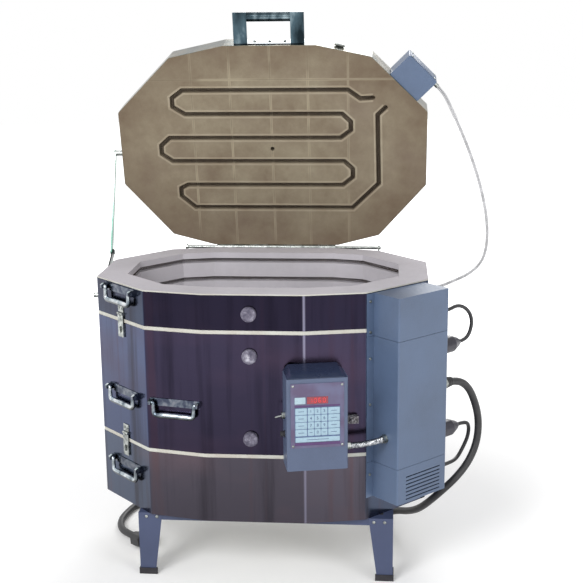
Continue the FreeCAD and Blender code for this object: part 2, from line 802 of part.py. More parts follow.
def rod_bracket(label, at):
    """Arm from the top jacket's turned side back to an eye round the rod."""
    body = new_body(label, FreeCAD.Placement(V(at, hinge_y, rim_z), facing(V(0, 1, 0), V(0, 0, 1))))
    near = abs(at) - mm("plate_thick")
    slant = "(half_width - shoulder_depth) / (back_shoulder - back_flat)"
    foot = f"-(hinge_back + ({near} - back_flat) * {slant}) + plug_gap"
    pad(body, [(zero, zero, "knuckle_radius")], "-plate_thick", "plate_thick")
    pad(body, [[(foot, "-knuckle_radius * 3"), (foot, "-knuckle_radius"), (zero, "knuckle_radius / 2"),
                (zero, "-knuckle_radius")]], "-plate_thick", "plate_thick")
    pocket(body, [(zero, zero, "rod_radius")], "-plate_thick", "plate_thick")
    return body


rod_bracket("hinge_end_left", mm("rod_end") - mm("rod_left"))
rod_bracket("hinge_end_right", mm("rod_right") - mm("rod_end"))

# Lid, modelled shut on the rim with its underside one seat gap above it

lid_low = f"{rim} + lid_seat"
lid_high = f"{rim} + lid_seat + lid_thick"
lid_low_z = rim_z + mm("lid_seat")
lid_high_z = lid_low_z + mm("lid_thick")

# The element runs in one groove from terminal to terminal, up and down the lid in six rows
track = doc.addObject("Sketcher::SketchObject", "lid_track")
route = [
    (321, -121), (299, -100), (303, 104), (228, 179), (-232, 179), (-272, 144), (-272, 120), (-250, 109),
    (200, 109), (229, 85), (229, 60), (205, 37), (-290, 37), (-321, 15), (-321, -10), (-295, -33),
    (195, -33), (224, -55), (224, -80), (200, -103), (-245, -103), (-280, -125), (-280, -150), (-250, -172),
    (216, -172), (251, -147), (286, -149),
]
for a, b in zip(route[:-1], route[1:]):
    track.addGeometry(Part.LineSegment(V(a[0], a[1], 0), V(b[0], b[1], 0)), False)
lid_groove = outline("lid_groove", track, "lid_groove_wide / 2", "Arc")
lid_coil = outline("lid_coil", track, "coil / 2", "Arc")
vent = doc.addObject("Part::Cylinder", "vent")
bind(vent, "Radius", "vent_bore / 2")
bind(vent, "Height", "lid_thick * 1.2")
bind(vent, "Placement.Base.z", f"{lid_low} - lid_thick / 10")


def opened_piece(label, base, tools):
    """Cut a piece of the shut lid and turn it open about the hinge line."""
    if tools:
        cut = doc.addObject("Part::Cut", f"{label}_shut")
        cut.Base = base
        cut.Tool = tools[0] if len(tools) == 1 else merged(f"{label}_tools", tools)
    else:
        cut = base
    doc.recompute()
    piece = doc.addObject("Part::Compound", label)
    piece.Links = [cut]
    piece.Placement = opened
    piece.Label = label
    exported.append(piece)


opened_piece("lid_bricks", prism("lid_block", jacket_inside, lid_low, lid_high),
             [prism("lid_groove_cut", lid_groove, lid_low, f"{lid_low} + groove_deep"), vent])
opened_piece("lid_band", prism("lid_band_outside", jacket_outside, lid_low, lid_high),
             [prism("lid_band_inside", jacket_inside, lid_low, lid_high)])
opened_piece("lid_element", prism("lid_coil_solid", lid_coil, f"{lid_low} + groove_deep - coil",
                                  f"{lid_low} + groove_deep"), [])

# Lifting handle on the lid's front: two bent straps and a round bar between them

lid_front = opened.multiply(FreeCAD.Placement(V(0, -mm("half_width"), (lid_low_z + lid_high_z) / 2),
                                              facing(V(1, 0, 0), V(0, 0, 1))))
grip = new_body("lid_handle", lid_front)
half = "lid_handle_half"
tall = "lid_handle_tall / 2"
pad(grip, [box_points(f"-{half}", f"-{tall}", half, tall)], zero, "plate_thick")
for low, high in ((f"-{half}", f"-{half} + lid_handle_strap"), (f"{half} - lid_handle_strap", half)):
    pad(grip, [box_points(low, f"-{tall}", high, f"-{tall} + plate_thick")], zero, "lid_handle_reach")
bar_out = "lid_handle_reach - lid_handle_bar / 2 - plate_thick"
pad(grip, [(f"-{tall} + plate_thick / 2 + lid_handle_bar / 2", bar_out, "lid_handle_bar / 2")],
    f"-{half} + plate_thick", f"{half} - plate_thick", "YZ_Plane")

# Terminal box and gland on the lid's right front side

lid_right = opened.multiply(on_side(shoulder_right, end_right, 0, lid_low_z))
terminal = new_body("lid_terminal_box", lid_right)
pad(terminal, [box_points("terminal_near", "terminal_edge", "terminal_far", "lid_thick - terminal_edge")],
    zero, "terminal_out")
soften(terminal, "terminal_edge / 2", upright)
gland = new_body("lid_gland", lid_right)
gland_z = "terminal_out - gland_radius * 1.6"
for radius, low, high in (("gland_radius", "terminal_far", "terminal_far + gland_long / 3"),
                          ("gland_radius * 0.75", "terminal_far + gland_long / 3", "terminal_far + gland_long")):
    pad(gland, [("lid_thick / 2", gland_z, radius)], low, high, "YZ_Plane")

# Folding prop at the left end. The elbow is drawn apart: each arm has its own joint, and the arms run
# in two planes beside each other, the lower one nearer the jacket.


def elbow(top, foot):
    """Third corner of the triangle of both arms, on the back side of the line between the pivots."""
    span = (top - foot).Length
    lean = math.acos((span ** 2 + lower_long ** 2 - upper_long ** 2) / (2 * span * lower_long))
    slope = math.atan2(top.z - foot.z, top.y - foot.y) - lean
    return foot + V(0, lower_long * math.cos(slope), lower_long * math.sin(slope))


end_x = -mm("half_length")
lid_pivot_shut = V(end_x, mm("prop_lid_y"), lid_low_z + mm("lid_thick") / 2)
lid_pivot = opened.multVec(lid_pivot_shut)
body_pivot = V(end_x, mm("prop_body_y"), body_low_z + mm("prop_body_z"))
# Together the arms are longer than the open span by the slack, and their difference is shorter
# than the shut span by the fold, so that the elbow stays bent at both ends of the travel.
span_open = (lid_pivot - body_pivot).Length
span_shut = (lid_pivot_shut - body_pivot).Length
both_arms = span_open + mm("prop_slack")
arm_difference = span_shut - mm("prop_fold")
upper_long = (both_arms + arm_difference) / 2
lower_long = (both_arms - arm_difference) / 2
elbow_open = elbow(lid_pivot, body_pivot)
elbow_shut = elbow(lid_pivot_shut, body_pivot)


def slope_of(vector):
    return math.degrees(math.atan2(vector.z, vector.y))


def swept(after, before):
    """Signed turn between two slopes, the short way round."""
    return (after - before + 180) % 360 - 180


lower_turn = swept(slope_of(elbow_shut - body_pivot), slope_of(elbow_open - body_pivot))
upper_turn = swept(slope_of(elbow_shut - lid_pivot_shut), slope_of(elbow_open - lid_pivot)) - mm("lid_angle")


def arm_place(pivot, tip):
    """Local X runs from pivot to tip and Z points out from the left end."""
    along = (tip - pivot).normalize()
    return FreeCAD.Placement(pivot, facing(along, V(-1, 0, 0).cross(along)))


def prop_arm(label, pivot, tip, length, low):
    body = new_body(label, arm_place(pivot, tip))
    high = f"{low} + prop_gauge"
    side = "prop_wide / 2"
    pad(body, [box_points(zero, f"-({side})", length, side)], low, high)
    pad(body, [(zero, zero, side)], low, high)
    pad(body, [(length, zero, side)], low, high)
    pocket(body, [(zero, zero, "prop_pin + running")], low, high)
    return body


inner_plane = "prop_gap"
outer_plane = "prop_gap + prop_gauge + plug_gap"
rivet = "prop_pin * 1.5"
lower_reach = f"{lower_long:.6f}"
upper_reach = f"{upper_long:.6f}"
lower_arm = prop_arm("prop_lower_arm", body_pivot, elbow_open, lower_reach, inner_plane)
pad(lower_arm, [(lower_reach, zero, rivet)], "prop_gap - rivet_head", inner_plane)
upper_arm = prop_arm("prop_upper_arm", lid_pivot, elbow_open, upper_reach, outer_plane)
pad(upper_arm, [(upper_reach, zero, rivet)], f"{outer_plane} + prop_gauge",
    f"{outer_plane} + prop_gauge + rivet_head")
bracket_place = FreeCAD.Placement(body_pivot, facing(V(0, -1, 0), V(0, 0, 1)))
stud = new_body("prop_bracket", bracket_place)
pad(stud, [box_points("-prop_wide", "-prop_wide", "prop_wide", "prop_wide * 1.5")], zero, "plate_thick")
pad(stud, [(zero, zero, "prop_pin * 2")], "plate_thick / 2", "prop_gap - plug_gap")
pad(stud, [(zero, zero, "prop_pin")], "plate_thick / 2", "prop_gap + prop_gauge + plug_gap * 2")
pad(stud, [(zero, zero, "knob_radius")], "prop_gap + prop_gauge + plug_gap", f"{outer_plane} + knob_long")
lid_stud = new_body("lid_prop_stud", opened.multiply(
    FreeCAD.Placement(lid_pivot_shut, facing(V(0, -1, 0), V(0, 0, 1)))))
pad(lid_stud, [box_points("-prop_wide", "-prop_wide", "prop_wide", "prop_wide")], zero, "plate_thick")
pad(lid_stud, [(zero, zero, "prop_pin * 2")], "plate_thick / 2", f"{outer_plane} - plug_gap")
pad(lid_stud, [(zero, zero, "prop_pin")], "plate_thick / 2", f"{outer_plane} + prop_gauge + plug_gap * 2")
pad(lid_stud, [(zero, zero, rivet)], f"{outer_plane} + prop_gauge + plug_gap",
    f"{outer_plane} + prop_gauge + plug_gap + rivet_head")

# Keeper on the jacket behind the arms: a spring clip with its ends turned out
catch_place = V(end_x, mm("catch_y"), body_low_z + mm("catch_level"))
catch = new_body("prop_catch", FreeCAD.Placement(catch_place, facing(V(0, -1, 0), V(0, 0, 1))))
pad(catch, [[("-prop_wide", zero), ("prop_wide * 0.7", zero), ("prop_wide * 0.7", "plate_thick"),
             ("-prop_wide + plate_thick * 2", "plate_thick"), ("-prop_wide + plate_thick", "catch_out"),
             ("-prop_wide", "catch_out")]], "-prop_wide / 2", "prop_wide / 2", "YZ_Plane")

# Sockets, section plugs and the cord grip on the control box's right wall
along_box = (end_right - shoulder_right).normalize()
box_outward = along_box.cross(V(0, 0, 1))


def beside_box(run, out, level):
    """Point by its distance from the right wall, its distance out from the jacket and its level."""
    height = V(0, 0, body_low_z + level)
    return shoulder_right + along_box * (mm("box_far") + run) + box_outward * out + height


def wall_place(out, level):
    """Place on the right wall: local Z points away from the wall and Y is up."""
    return FreeCAD.Placement(beside_box(0, out, level), facing(along_box.cross(V(0, 0, -1)), V(0, 0, 1)))


plug_levels = {"high": mm("socket_high"), "low": mm("socket_low")}
for name, level in plug_levels.items():
    place = wall_place(mm("socket_out"), level)
    socket = new_body(f"socket_{name}", place)
    pad(socket, [(zero, zero, "socket_radius + 3")], zero, "socket_rim")
    plug = new_body(f"section_plug_{name}", place)
    spin(plug, [(zero, "socket_rim"), ("socket_radius", "socket_rim"),
                ("socket_radius", "socket_rim + plug_long * 0.55"),
                ("socket_radius * 0.6", "socket_rim + plug_long * 0.85"),
                ("cord_small / 2 + 2", "socket_rim + plug_long"), (zero, "socket_rim + plug_long")], "XZ_Plane")
relief_place = wall_place(mm("supply_out"), mm("supply_exit"))
relief = new_body("cord_relief", relief_place)
pad(relief, [(zero, zero, "cord_large * 0.9")], zero, "relief_long / 3")
pad(relief, [(zero, zero, "cord_large * 0.72")], "relief_long / 3", "relief_long")
bushes = {
    "high": (mm("socket_out"), mm("lead_high")),
    "low": (mm("socket_out"), mm("lead_low")),
    "lid": (mm("cable_out"), mm("cable_level")),
}
for name, (out, level) in bushes.items():
    bush = new_body(f"lead_bush_{name}", wall_place(out, level))
    pad(bush, [(zero, zero, "cord_small * 0.9")], zero, "bush_long")

# Cords: straight runs joined by arcs as large as their runs allow


def cord_path(points):
    """Wire through a route, with an arc at each inner point. Prints the smallest radius."""
    edges = []
    radii = []
    last = points[0]
    for before, corner, after in zip(points[:-2], points[1:-1], points[2:]):
        into = corner - before
        onward = after - corner
        turn = into.getAngle(onward)
        cut = 0.45 * min(into.Length, onward.Length)
        radius = cut / math.tan(turn / 2)
        radii.append(radius)
        start = corner - into.normalize() * cut
        end = corner + onward.normalize() * cut
        inward = (start + end) * 0.5 - corner
        centre_far = radius / math.cos(turn / 2)
        middle = corner + inward.normalize() * (centre_far - radius)
        edges.append(Part.LineSegment(last, start).toShape())
        edges.append(Part.Arc(start, middle, end).toShape())
        last = end
    edges.append(Part.LineSegment(last, points[-1]).toShape())
    return Part.Wire(edges), radii


def cord(label, points, diameter):
    path, radii = cord_path(points)
    circle = Part.Circle(points[0], points[1] - points[0], mm(diameter) / 2).toShape()
    solid = path.makePipeShell([Part.Wire([circle])], True, True)
    cord_object = doc.addObject("Part::Feature", label)
    cord_object.Shape = solid
    cord_object.Label = label
    exported.append(cord_object)
    expected = math.pi * (mm(diameter) / 2) ** 2 * path.Length
    print(label, "length", round(path.Length), "volume ratio", round(solid.Volume / expected, 4),
          "radii", [round(radius) for radius in radii])


plug_end = mm("socket_rim") + mm("plug_long")
cord("section_cord_high", [
    beside_box(mm("bush_long"), mm("socket_out"), mm("lead_high")),
    beside_box(34, mm("socket_out"), mm("lead_high")),
    beside_box(66, 59, 539),
    beside_box(98, 60, 527),
    beside_box(121, 60, 501),
    beside_box(124, 59, 469),
    beside_box(106, mm("socket_out"), mm("socket_high")),
    beside_box(plug_end, mm("socket_out"), mm("socket_high")),
], "cord_small")
cord("section_cord_low", [
    beside_box(plug_end, mm("socket_out"), mm("socket_low")),
    beside_box(106, mm("socket_out"), mm("socket_low")),
    beside_box(133, 51, 195),
    beside_box(140, 43, 158),
    beside_box(122, 40, 126),
    beside_box(92, 46, 105),
    beside_box(50, mm("socket_out"), mm("lead_low")),
    beside_box(mm("bush_long"), mm("socket_out"), mm("lead_low")),
], "cord_small")
floor_cord = mm("cord_large") / 2
supply = [
    beside_box(mm("relief_long"), mm("supply_out"), mm("supply_exit")),
    beside_box(62, mm("supply_out"), mm("supply_exit")),
    beside_box(108, 69, 311),
    beside_box(139, 71, 248),
    beside_box(149, 72, 195),
    beside_box(141, 72, 143),
    beside_box(112, 71, 98),
    beside_box(70, 66, 63),
    beside_box(30, 50, 30),
    V(444, -98, 152),
    V(420, -48, 112),
    V(394, 14, 78),
    V(368, 72, 54),
    V(334, 118, 26),
    V(290, 148, floor_cord + 2),
    V(232, 160, floor_cord),
    V(162, 163, floor_cord),
    V(84, 169, floor_cord),
    V(2, 172, floor_cord),
    V(-82, 170, floor_cord),
    V(-166, 173, floor_cord),
    V(-248, 172, floor_cord),
    V(-322, 179, floor_cord),
    V(-382, 184, floor_cord),
    V(-422, 160, floor_cord),
    V(-437, 104, floor_cord),
    V(-443, 48, floor_cord),
    V(-431, -3, floor_cord),
    V(-403, -44, floor_cord + 3),
    V(-372, -74, floor_cord + 9),
]
cord("power_cord", supply, "cord_large")

# Supply plug lying on the floor with its two blades forward
plug_axis = (supply[-1] - supply[-2]).normalize()
plug_flat = V(plug_axis.x, plug_axis.y, 0).normalize()
plug_place = FreeCAD.Placement(supply[-1], FreeCAD.Rotation(plug_axis, V(0, 0, 1).cross(plug_axis),
                                                             V(0, 0, 1), "XYZ"))
power_plug = new_body("power_plug", plug_place)
pad(power_plug, [(zero, zero, "cord_large * 0.7")], zero, "supply_plug_neck", "YZ_Plane")
pad(power_plug, [[("-supply_plug_wide * 0.35", "-supply_plug_tall / 2"),
                  ("supply_plug_wide * 0.35", "-supply_plug_tall / 2"),
                  ("supply_plug_wide / 2", "-supply_plug_tall * 0.3"),
                  ("supply_plug_wide / 2", "supply_plug_tall * 0.3"),
                  ("supply_plug_wide * 0.35", "supply_plug_tall / 2"),
                  ("-supply_plug_wide * 0.35", "supply_plug_tall / 2"),
                  ("-supply_plug_wide / 2", "supply_plug_tall * 0.3"),
                  ("-supply_plug_wide / 2", "-supply_plug_tall * 0.3")]],
    "supply_plug_neck", "supply_plug_neck + supply_plug_long", "YZ_Plane")
blades = new_body("plug_blades", plug_place)
face = "supply_plug_neck + supply_plug_long"
for hand in ("", "-"):
    edge = f"{hand}supply_blade_apart / 2"
    pad(blades, [box_points(f"{edge} - supply_blade_thick / 2", "-supply_blade_tall / 2",
                            f"{edge} + supply_blade_thick / 2", "supply_blade_tall / 2")],
        face, f"{face} + supply_blade_long", "YZ_Plane")

# Twin lid cable from the gland on the lid, hanging in a loop to the top of the control box
gland_tip = lid_right.multVec(V(mm("terminal_far") + mm("gland_long"), mm("lid_thick") / 2,
                                mm("terminal_out") - mm("gland_radius") * 1.6))
gland_along = lid_right.Rotation.multVec(V(1, 0, 0))
cable_entry = beside_box(mm("bush_long"), mm("cable_out"), mm("cable_level"))
cord("lid_cable", [
    gland_tip,
    gland_tip + gland_along * 26,
    V(506, 208, 1186),
    V(532, 202, 1130),
    V(556, 196, 1072),
    V(578, 190, 1010),
    V(596, 178, 944),
    V(606, 152, 878),
    V(602, 104, 824),
    V(584, 46, 792),
    V(548, -14, 774),
    beside_box(90, 18, 591),
    beside_box(44, mm("cable_out"), mm("cable_level")),
    cable_entry,
], "cord_lid")

# Flexible conduit from the controller to the control box, with a fitting at each end
case_exit = case_place.multVec(V(mm("case_far"), mm("conduit_level"), mm("case_out") * 0.55))
case_side = case_place.Rotation.multVec(V(1, 0, 0))
box_entry = shoulder_right + along_box * mm("box_near") + box_outward * mm("conduit_box_out") + V(
    0, 0, body_low_z + mm("conduit_level") + mm("conduit_rise"))
for label, point, away in (("conduit_fitting_case", case_exit, case_side),
                           ("conduit_fitting_box", box_entry, along_box * -1)):
    sideways = V(0, 0, 1).cross(away).normalize()
    turn = FreeCAD.Rotation(sideways, away.cross(sideways), away, "XYZ")
    fitting = new_body(label, FreeCAD.Placement(point, turn))
    pad(fitting, [(zero, zero, "conduit_wide * 0.72")], zero, "conduit_fit / 3")
    pad(fitting, [(zero, zero, "conduit_wide * 0.62")], "conduit_fit / 3", "conduit_fit")
start = case_exit + case_side * mm("conduit_fit")
end = box_entry - along_box * mm("conduit_fit")
cord("conduit", [start, start + case_side * 26, end - along_box * 26, end], "conduit_wide")

# Thermocouple block on the front right side between the controller and the control box
block = new_body("thermocouple_block", on_side(front_right, shoulder_right, mm("thermo_run"),
                                               body_low_z + mm("thermo_level")))
pad(block, [box_points("-thermo_wide / 2", "-thermo_tall / 2", "thermo_wide / 2", "thermo_tall / 2")],
    zero, "thermo_wide * 0.5")
pad(block, [(zero, zero, "thermo_tall / 3")], "thermo_wide / 4", "thermo_wide * 0.8")

# Like pieces that do the same job share a file, each still a solid of its own


def gather(label, pieces):
    doc.recompute()
    group = doc.addObject("Part::Compound", label)
    group.Links = [item for item in exported if item.Label in pieces]
    group.Label = label
    if len(group.Links) != len(pieces):
        raise RuntimeError(f"{label}: a piece is missing")
    for item in group.Links:
        exported.remove(item)
    exported.append(group)


handles = ("handle_front", "handle_left_high", "handle_left_middle", "handle_left_low")
gather("foot_caps", [f"foot_cap_{name}" for name in stand_corners])
gather("handle_brackets", [f"{name}_bracket" for name in handles])
gather("hasp_plates", ["hasp_high_leaf", "hasp_low_leaf", "hasp_high_staple", "hasp_low_staple"])
gather("hinge_plates", ["hinge_leaf", "hinge_end_left", "hinge_end_right"])
gather("sockets", ["socket_high", "socket_low"])
gather("section_plugs", ["section_plug_high", "section_plug_low"])
gather("cord_fittings", ["conduit_fitting_case", "conduit_fitting_box", "lead_bush_high", "lead_bush_low",
                         "lead_bush_lid", "cord_relief"])
gather("rails", ["rail_front", "rail_back", "rail_left", "rail_right"])
gather("legs", [f"leg_{name}" for name in stand_corners])
gather("prop_brackets", ["prop_bracket", "prop_catch"])
gather("wall_elements", ["bottom_elements", "middle_elements", "top_elements"])

# Check every object and write each piece to its own file


def finish():
    doc.recompute()
    for item in doc.Objects:
        if "Invalid" in item.State or "Error" in item.State:
            raise RuntimeError(f"{item.Label} could not be built")
    for piece in exported:
        if piece.Shape.isNull() or not piece.Shape.isValid():
            raise RuntimeError(f"{piece.Label} has no valid shape")
        piece.Shape.exportStep(f"parts/{piece.Label}.step")


finish()
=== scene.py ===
import bpy
import math
from mathutils import Matrix, Vector


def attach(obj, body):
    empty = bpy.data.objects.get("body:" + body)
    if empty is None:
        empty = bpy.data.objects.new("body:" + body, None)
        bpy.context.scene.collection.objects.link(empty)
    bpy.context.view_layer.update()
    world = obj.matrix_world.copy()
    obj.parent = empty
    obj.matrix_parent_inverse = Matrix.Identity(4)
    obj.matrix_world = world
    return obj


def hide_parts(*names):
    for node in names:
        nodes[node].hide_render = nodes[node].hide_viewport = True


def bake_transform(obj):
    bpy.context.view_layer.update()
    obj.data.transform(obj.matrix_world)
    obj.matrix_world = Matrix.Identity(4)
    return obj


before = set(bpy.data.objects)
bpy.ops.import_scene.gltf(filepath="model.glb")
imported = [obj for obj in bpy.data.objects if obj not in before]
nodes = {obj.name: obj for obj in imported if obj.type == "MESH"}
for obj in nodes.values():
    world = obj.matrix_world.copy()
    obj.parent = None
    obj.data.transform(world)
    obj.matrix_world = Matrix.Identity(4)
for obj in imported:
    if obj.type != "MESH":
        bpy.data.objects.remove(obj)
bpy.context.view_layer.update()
bpy.ops.object.select_all(action="DESELECT")

# Studio. A plain pale floor that fades into a white surround, two large soft lamps in
# front and a weaker one behind, and the camera where the photographer stood.
scene = bpy.context.scene


def shade(red, green, blue):
    """A colour as it is seen, each part from 0 to 255, in the values that a shader takes."""
    return tuple(part / 255 / 12.92 if part <= 10 else ((part / 255 + 0.055) / 1.055) ** 2.4
                 for part in (red, green, blue))


def new_finish(name, colour, rough, metal=0.0):
    """A new material with its plain values on the shader. Returns material, node tree and shader."""
    finish = bpy.data.materials.new(name)
    finish.use_nodes = True
    shader = finish.node_tree.nodes["Principled BSDF"]
    shader.inputs["Base Color"].default_value = (*colour, 1)
    shader.inputs["Roughness"].default_value = rough
    shader.inputs["Metallic"].default_value = metal
    return finish, finish.node_tree, shader


def reckon(tree, operation, first, second=0.0):
    """A sum on two values of a node tree, either of which may be a plain number."""
    node = tree.nodes.new("ShaderNodeMath")
    node.operation = operation
    for socket, given in zip(node.inputs, (first, second)):
        if isinstance(given, float):
            socket.default_value = given
        else:
            tree.links.new(given, socket)
    return node.outputs[0]


def reckon_vector(tree, operation, first, second=(0, 0, 0)):
    """The same for vectors: MULTIPLY gives a vector, a length, distance or dot product a number."""
    node = tree.nodes.new("ShaderNodeVectorMath")
    node.operation = operation
    tree.links.new(first, node.inputs[0])
    if isinstance(second, tuple):
        node.inputs[1].default_value = second
    else:
        tree.links.new(second, node.inputs[1])
    return node.outputs["Vector" if operation == "MULTIPLY" else "Value"]


def own_place(tree):
    """The place on a piece, in the piece's own coordinates."""
    return tree.nodes.new("ShaderNodeTexCoord").outputs["Object"]


def seen_directly(tree):
    """1 where the camera, a reflection or a clear material looks straight at the surface."""
    path = tree.nodes.new("ShaderNodeLightPath")
    straight = reckon(tree, "MAXIMUM", path.outputs["Is Camera Ray"], path.outputs["Is Glossy Ray"])
    return reckon(tree, "MAXIMUM", straight, path.outputs["Is Transmission Ray"])


def between(tree, factor, low, high, start=0.0, end=1.0):
    """Turns a value from start to end into a value from low to high."""
    reach = tree.nodes.new("ShaderNodeMapRange")
    for word, value in (("From Min", start), ("From Max", end), ("To Min", low), ("To Max", high)):
        reach.inputs[word].default_value = value
    tree.links.new(factor, reach.inputs["Value"])
    return reach.outputs["Result"]


world = bpy.data.worlds.new("surround")
scene.world = world
world.use_nodes = True
sky = world.node_tree.nodes["Background"]
sky.inputs["Color"].default_value = (1, 1, 1, 1)
sky_light, sky_seen = 0.55, 1.0
sky_strength = between(world.node_tree, seen_directly(world.node_tree), sky_light, sky_seen)
world.node_tree.links.new(sky_strength, sky.inputs["Strength"])

floor_reach = 14.0
floor_drop = 0.0004
shadow_reach, white_reach = 0.75, 2.6
bpy.ops.mesh.primitive_circle_add(vertices=96, radius=floor_reach, fill_type="NGON",
                                  location=(0, 0, -floor_drop))
floor = bpy.context.object
floor.name = "studio_floor"
floor_finish, tree, shader = new_finish("pale_floor", shade(244, 244, 244), 0.9)
shader.inputs["Specular IOR Level"].default_value = 0.0
shader.inputs["Emission Color"].default_value = (1, 1, 1, 1)
away = reckon_vector(tree, "LENGTH", own_place(tree))
glow = between(tree, away, 0.12, 1.0, shadow_reach, white_reach)
tree.links.new(reckon(tree, "MULTIPLY", glow, seen_directly(tree)), shader.inputs["Emission Strength"])
floor.data.materials.append(floor_finish)


def soft_lamp(name, place, target, size, watts):
    """A round white area lamp that points at a target."""
    bpy.ops.object.light_add(type="AREA", location=place)
    lamp = bpy.context.object
    lamp.name = name
    lamp.data.shape = "DISK"
    lamp.data.size = size
    lamp.data.energy = watts
    lamp.rotation_euler = (Vector(target) - Vector(place)).to_track_quat("-Z", "Y").to_euler()


soft_lamp("key_lamp", (-2.2, -4.2, 3.6), (0, 0, 0.6), 2.6, 170)
soft_lamp("fill_lamp", (3.4, -3.2, 2.2), (0, 0, 0.7), 2.4, 55)
soft_lamp("back_lamp", (0.6, 4.0, 3.4), (0, 0, 0.8), 2.6, 90)

photo_pixels = 583
focal_pixels = 1155.6
camera_eye = Vector((0.3435, -3.0470, 1.4408))
camera_yaw, camera_pitch, camera_roll = (math.radians(turn) for turn in (-5.1, 13.3, -0.6))
bpy.ops.object.camera_add(location=camera_eye)
camera = bpy.context.object
camera.name = "photo_camera"
camera.data.sensor_width = 36
camera.data.lens = focal_pixels / photo_pixels * camera.data.sensor_width
camera.data.clip_end = 60
camera_turn = Matrix.Rotation(-camera_yaw, 3, "Z") @ Matrix.Rotation(math.pi / 2 - camera_pitch, 3, "X")
camera.rotation_euler = (camera_turn @ Matrix.Rotation(camera_roll, 3, "Z")).to_euler()
scene.camera = camera
scene.view_settings.view_transform = "Standard"

# Supply cord. A thick black rubber lead: out of the grip on the control box in one high bow,
# down behind the stand, along the floor and round behind the left leg to its plug.


def pattern(tree, kind, stretch=(1, 1, 1), **settings):
    """A texture node that reads the piece's own coordinates, stretched."""
    mapping = tree.nodes.new("ShaderNodeMapping")
    mapping.inputs["Scale"].default_value = stretch
    texture = tree.nodes.new(f"ShaderNodeTex{kind}")
    tree.links.new(own_place(tree), mapping.inputs["Vector"])
    tree.links.new(mapping.outputs["Vector"], texture.inputs["Vector"])
    for word, value in settings.items():
        texture.inputs[word.replace("_", " ")].default_value = value
    return texture


def band(tree, factor, stops):
    """A colour ramp over a pattern, with its stops as (place, colour)."""
    ramp = tree.nodes.new("ShaderNodeValToRGB")
    while len(ramp.color_ramp.elements) < len(stops):
        ramp.color_ramp.elements.new(1)
    for element, (place, colour) in zip(ramp.color_ramp.elements, stops):
        element.position = place
        element.color = (*colour, 1)
    tree.links.new(factor, ramp.inputs["Fac"])
    return ramp.outputs["Color"]


def over(tree, below, above, factor, mode="MIX", share=1.0):
    """Lays one colour over another by a pattern."""
    mix = tree.nodes.new("ShaderNodeMix")
    mix.data_type = "RGBA"
    mix.blend_type = mode
    for socket, given in ((mix.inputs[6], below), (mix.inputs[7], above)):
        if isinstance(given, tuple):
            socket.default_value = (*given, 1)
        else:
            tree.links.new(given, socket)
    if isinstance(factor, float):
        mix.inputs[0].default_value = factor
    else:
        tree.links.new(reckon(tree, "MULTIPLY", factor, share), mix.inputs[0])
    return mix.outputs[2]


def paint(tree, shader, texture, *stops):
    """Colours the shader by a noise, through stops of (place, colour)."""
    tree.links.new(band(tree, texture.outputs["Fac"], stops), shader.inputs["Base Color"])


def polish(tree, shader, texture, low, high):
    """Lets the roughness wander from low to high with a noise."""
    tree.links.new(between(tree, texture.outputs["Fac"], low, high), shader.inputs["Roughness"])


def relief(tree, shader, height, depth, strength=1.0):
    """Bump on the shader, with its depth in metres. A second call adds to the first."""
    bump = tree.nodes.new("ShaderNodeBump")
    bump.inputs["Distance"].default_value = depth
    bump.inputs["Strength"].default_value = strength
    tree.links.new(height, bump.inputs["Height"])
    if shader.inputs["Normal"].links:
        tree.links.new(shader.inputs["Normal"].links[0].from_socket, bump.inputs["Normal"])
    tree.links.new(bump.outputs["Normal"], shader.inputs["Normal"])


def toned(colour, factor):
    """A lighter or darker form of a colour."""
    return tuple(min(1, part * factor) for part in colour)


def rubber(name, colour, rough):
    """Rubber or soft plastic with fine grain and faint dust."""
    finish, tree, shader = new_finish(name, colour, rough)
    dust = pattern(tree, "Noise", Scale=38, Detail=6, Roughness=0.6)
    paler = tuple(min(1, part * 1.5 + 0.012) for part in colour)
    paint(tree, shader, dust, (0.38, colour), (0.72, paler))
    polish(tree, shader, dust, rough - 0.08, rough + 0.15)
    grain = pattern(tree, "Noise", Scale=2200, Detail=2)
    relief(tree, shader, grain.outputs["Fac"], 0.0001, 0.5)
    return finish


def dress(finish, *names):
    """Gives a finish to CAD nodes."""
    for name in names:
        slots = nodes[name].data.materials
        slots.clear()
        slots.append(finish)


def new_line(name, points, kind):
    """A curve with one spline on its points. Returns the piece and the spline."""
    curve = bpy.data.curves.new(name, "CURVE")
    curve.dimensions = "3D"
    spline = curve.splines.new(kind)
    spline.points.add(len(points) - 1)
    for knot, point in zip(spline.points, points):
        knot.co = (*point, 1)
    piece = bpy.data.objects.new(name, curve)
    scene.collection.objects.link(piece)
    return piece, spline


def cord_curve(name, points, diameter, finish):
    """A round cord: one open NURBS spline whose control points are its route."""
    piece, spline = new_line(name, points, "NURBS")
    spline.order_u = 3
    spline.use_endpoint_u = True
    spline.resolution_u = 8
    piece.data.bevel_depth = diameter / 2
    piece.data.bevel_resolution = 5
    piece.data.use_fill_caps = True
    piece.data.materials.append(finish)
    return piece


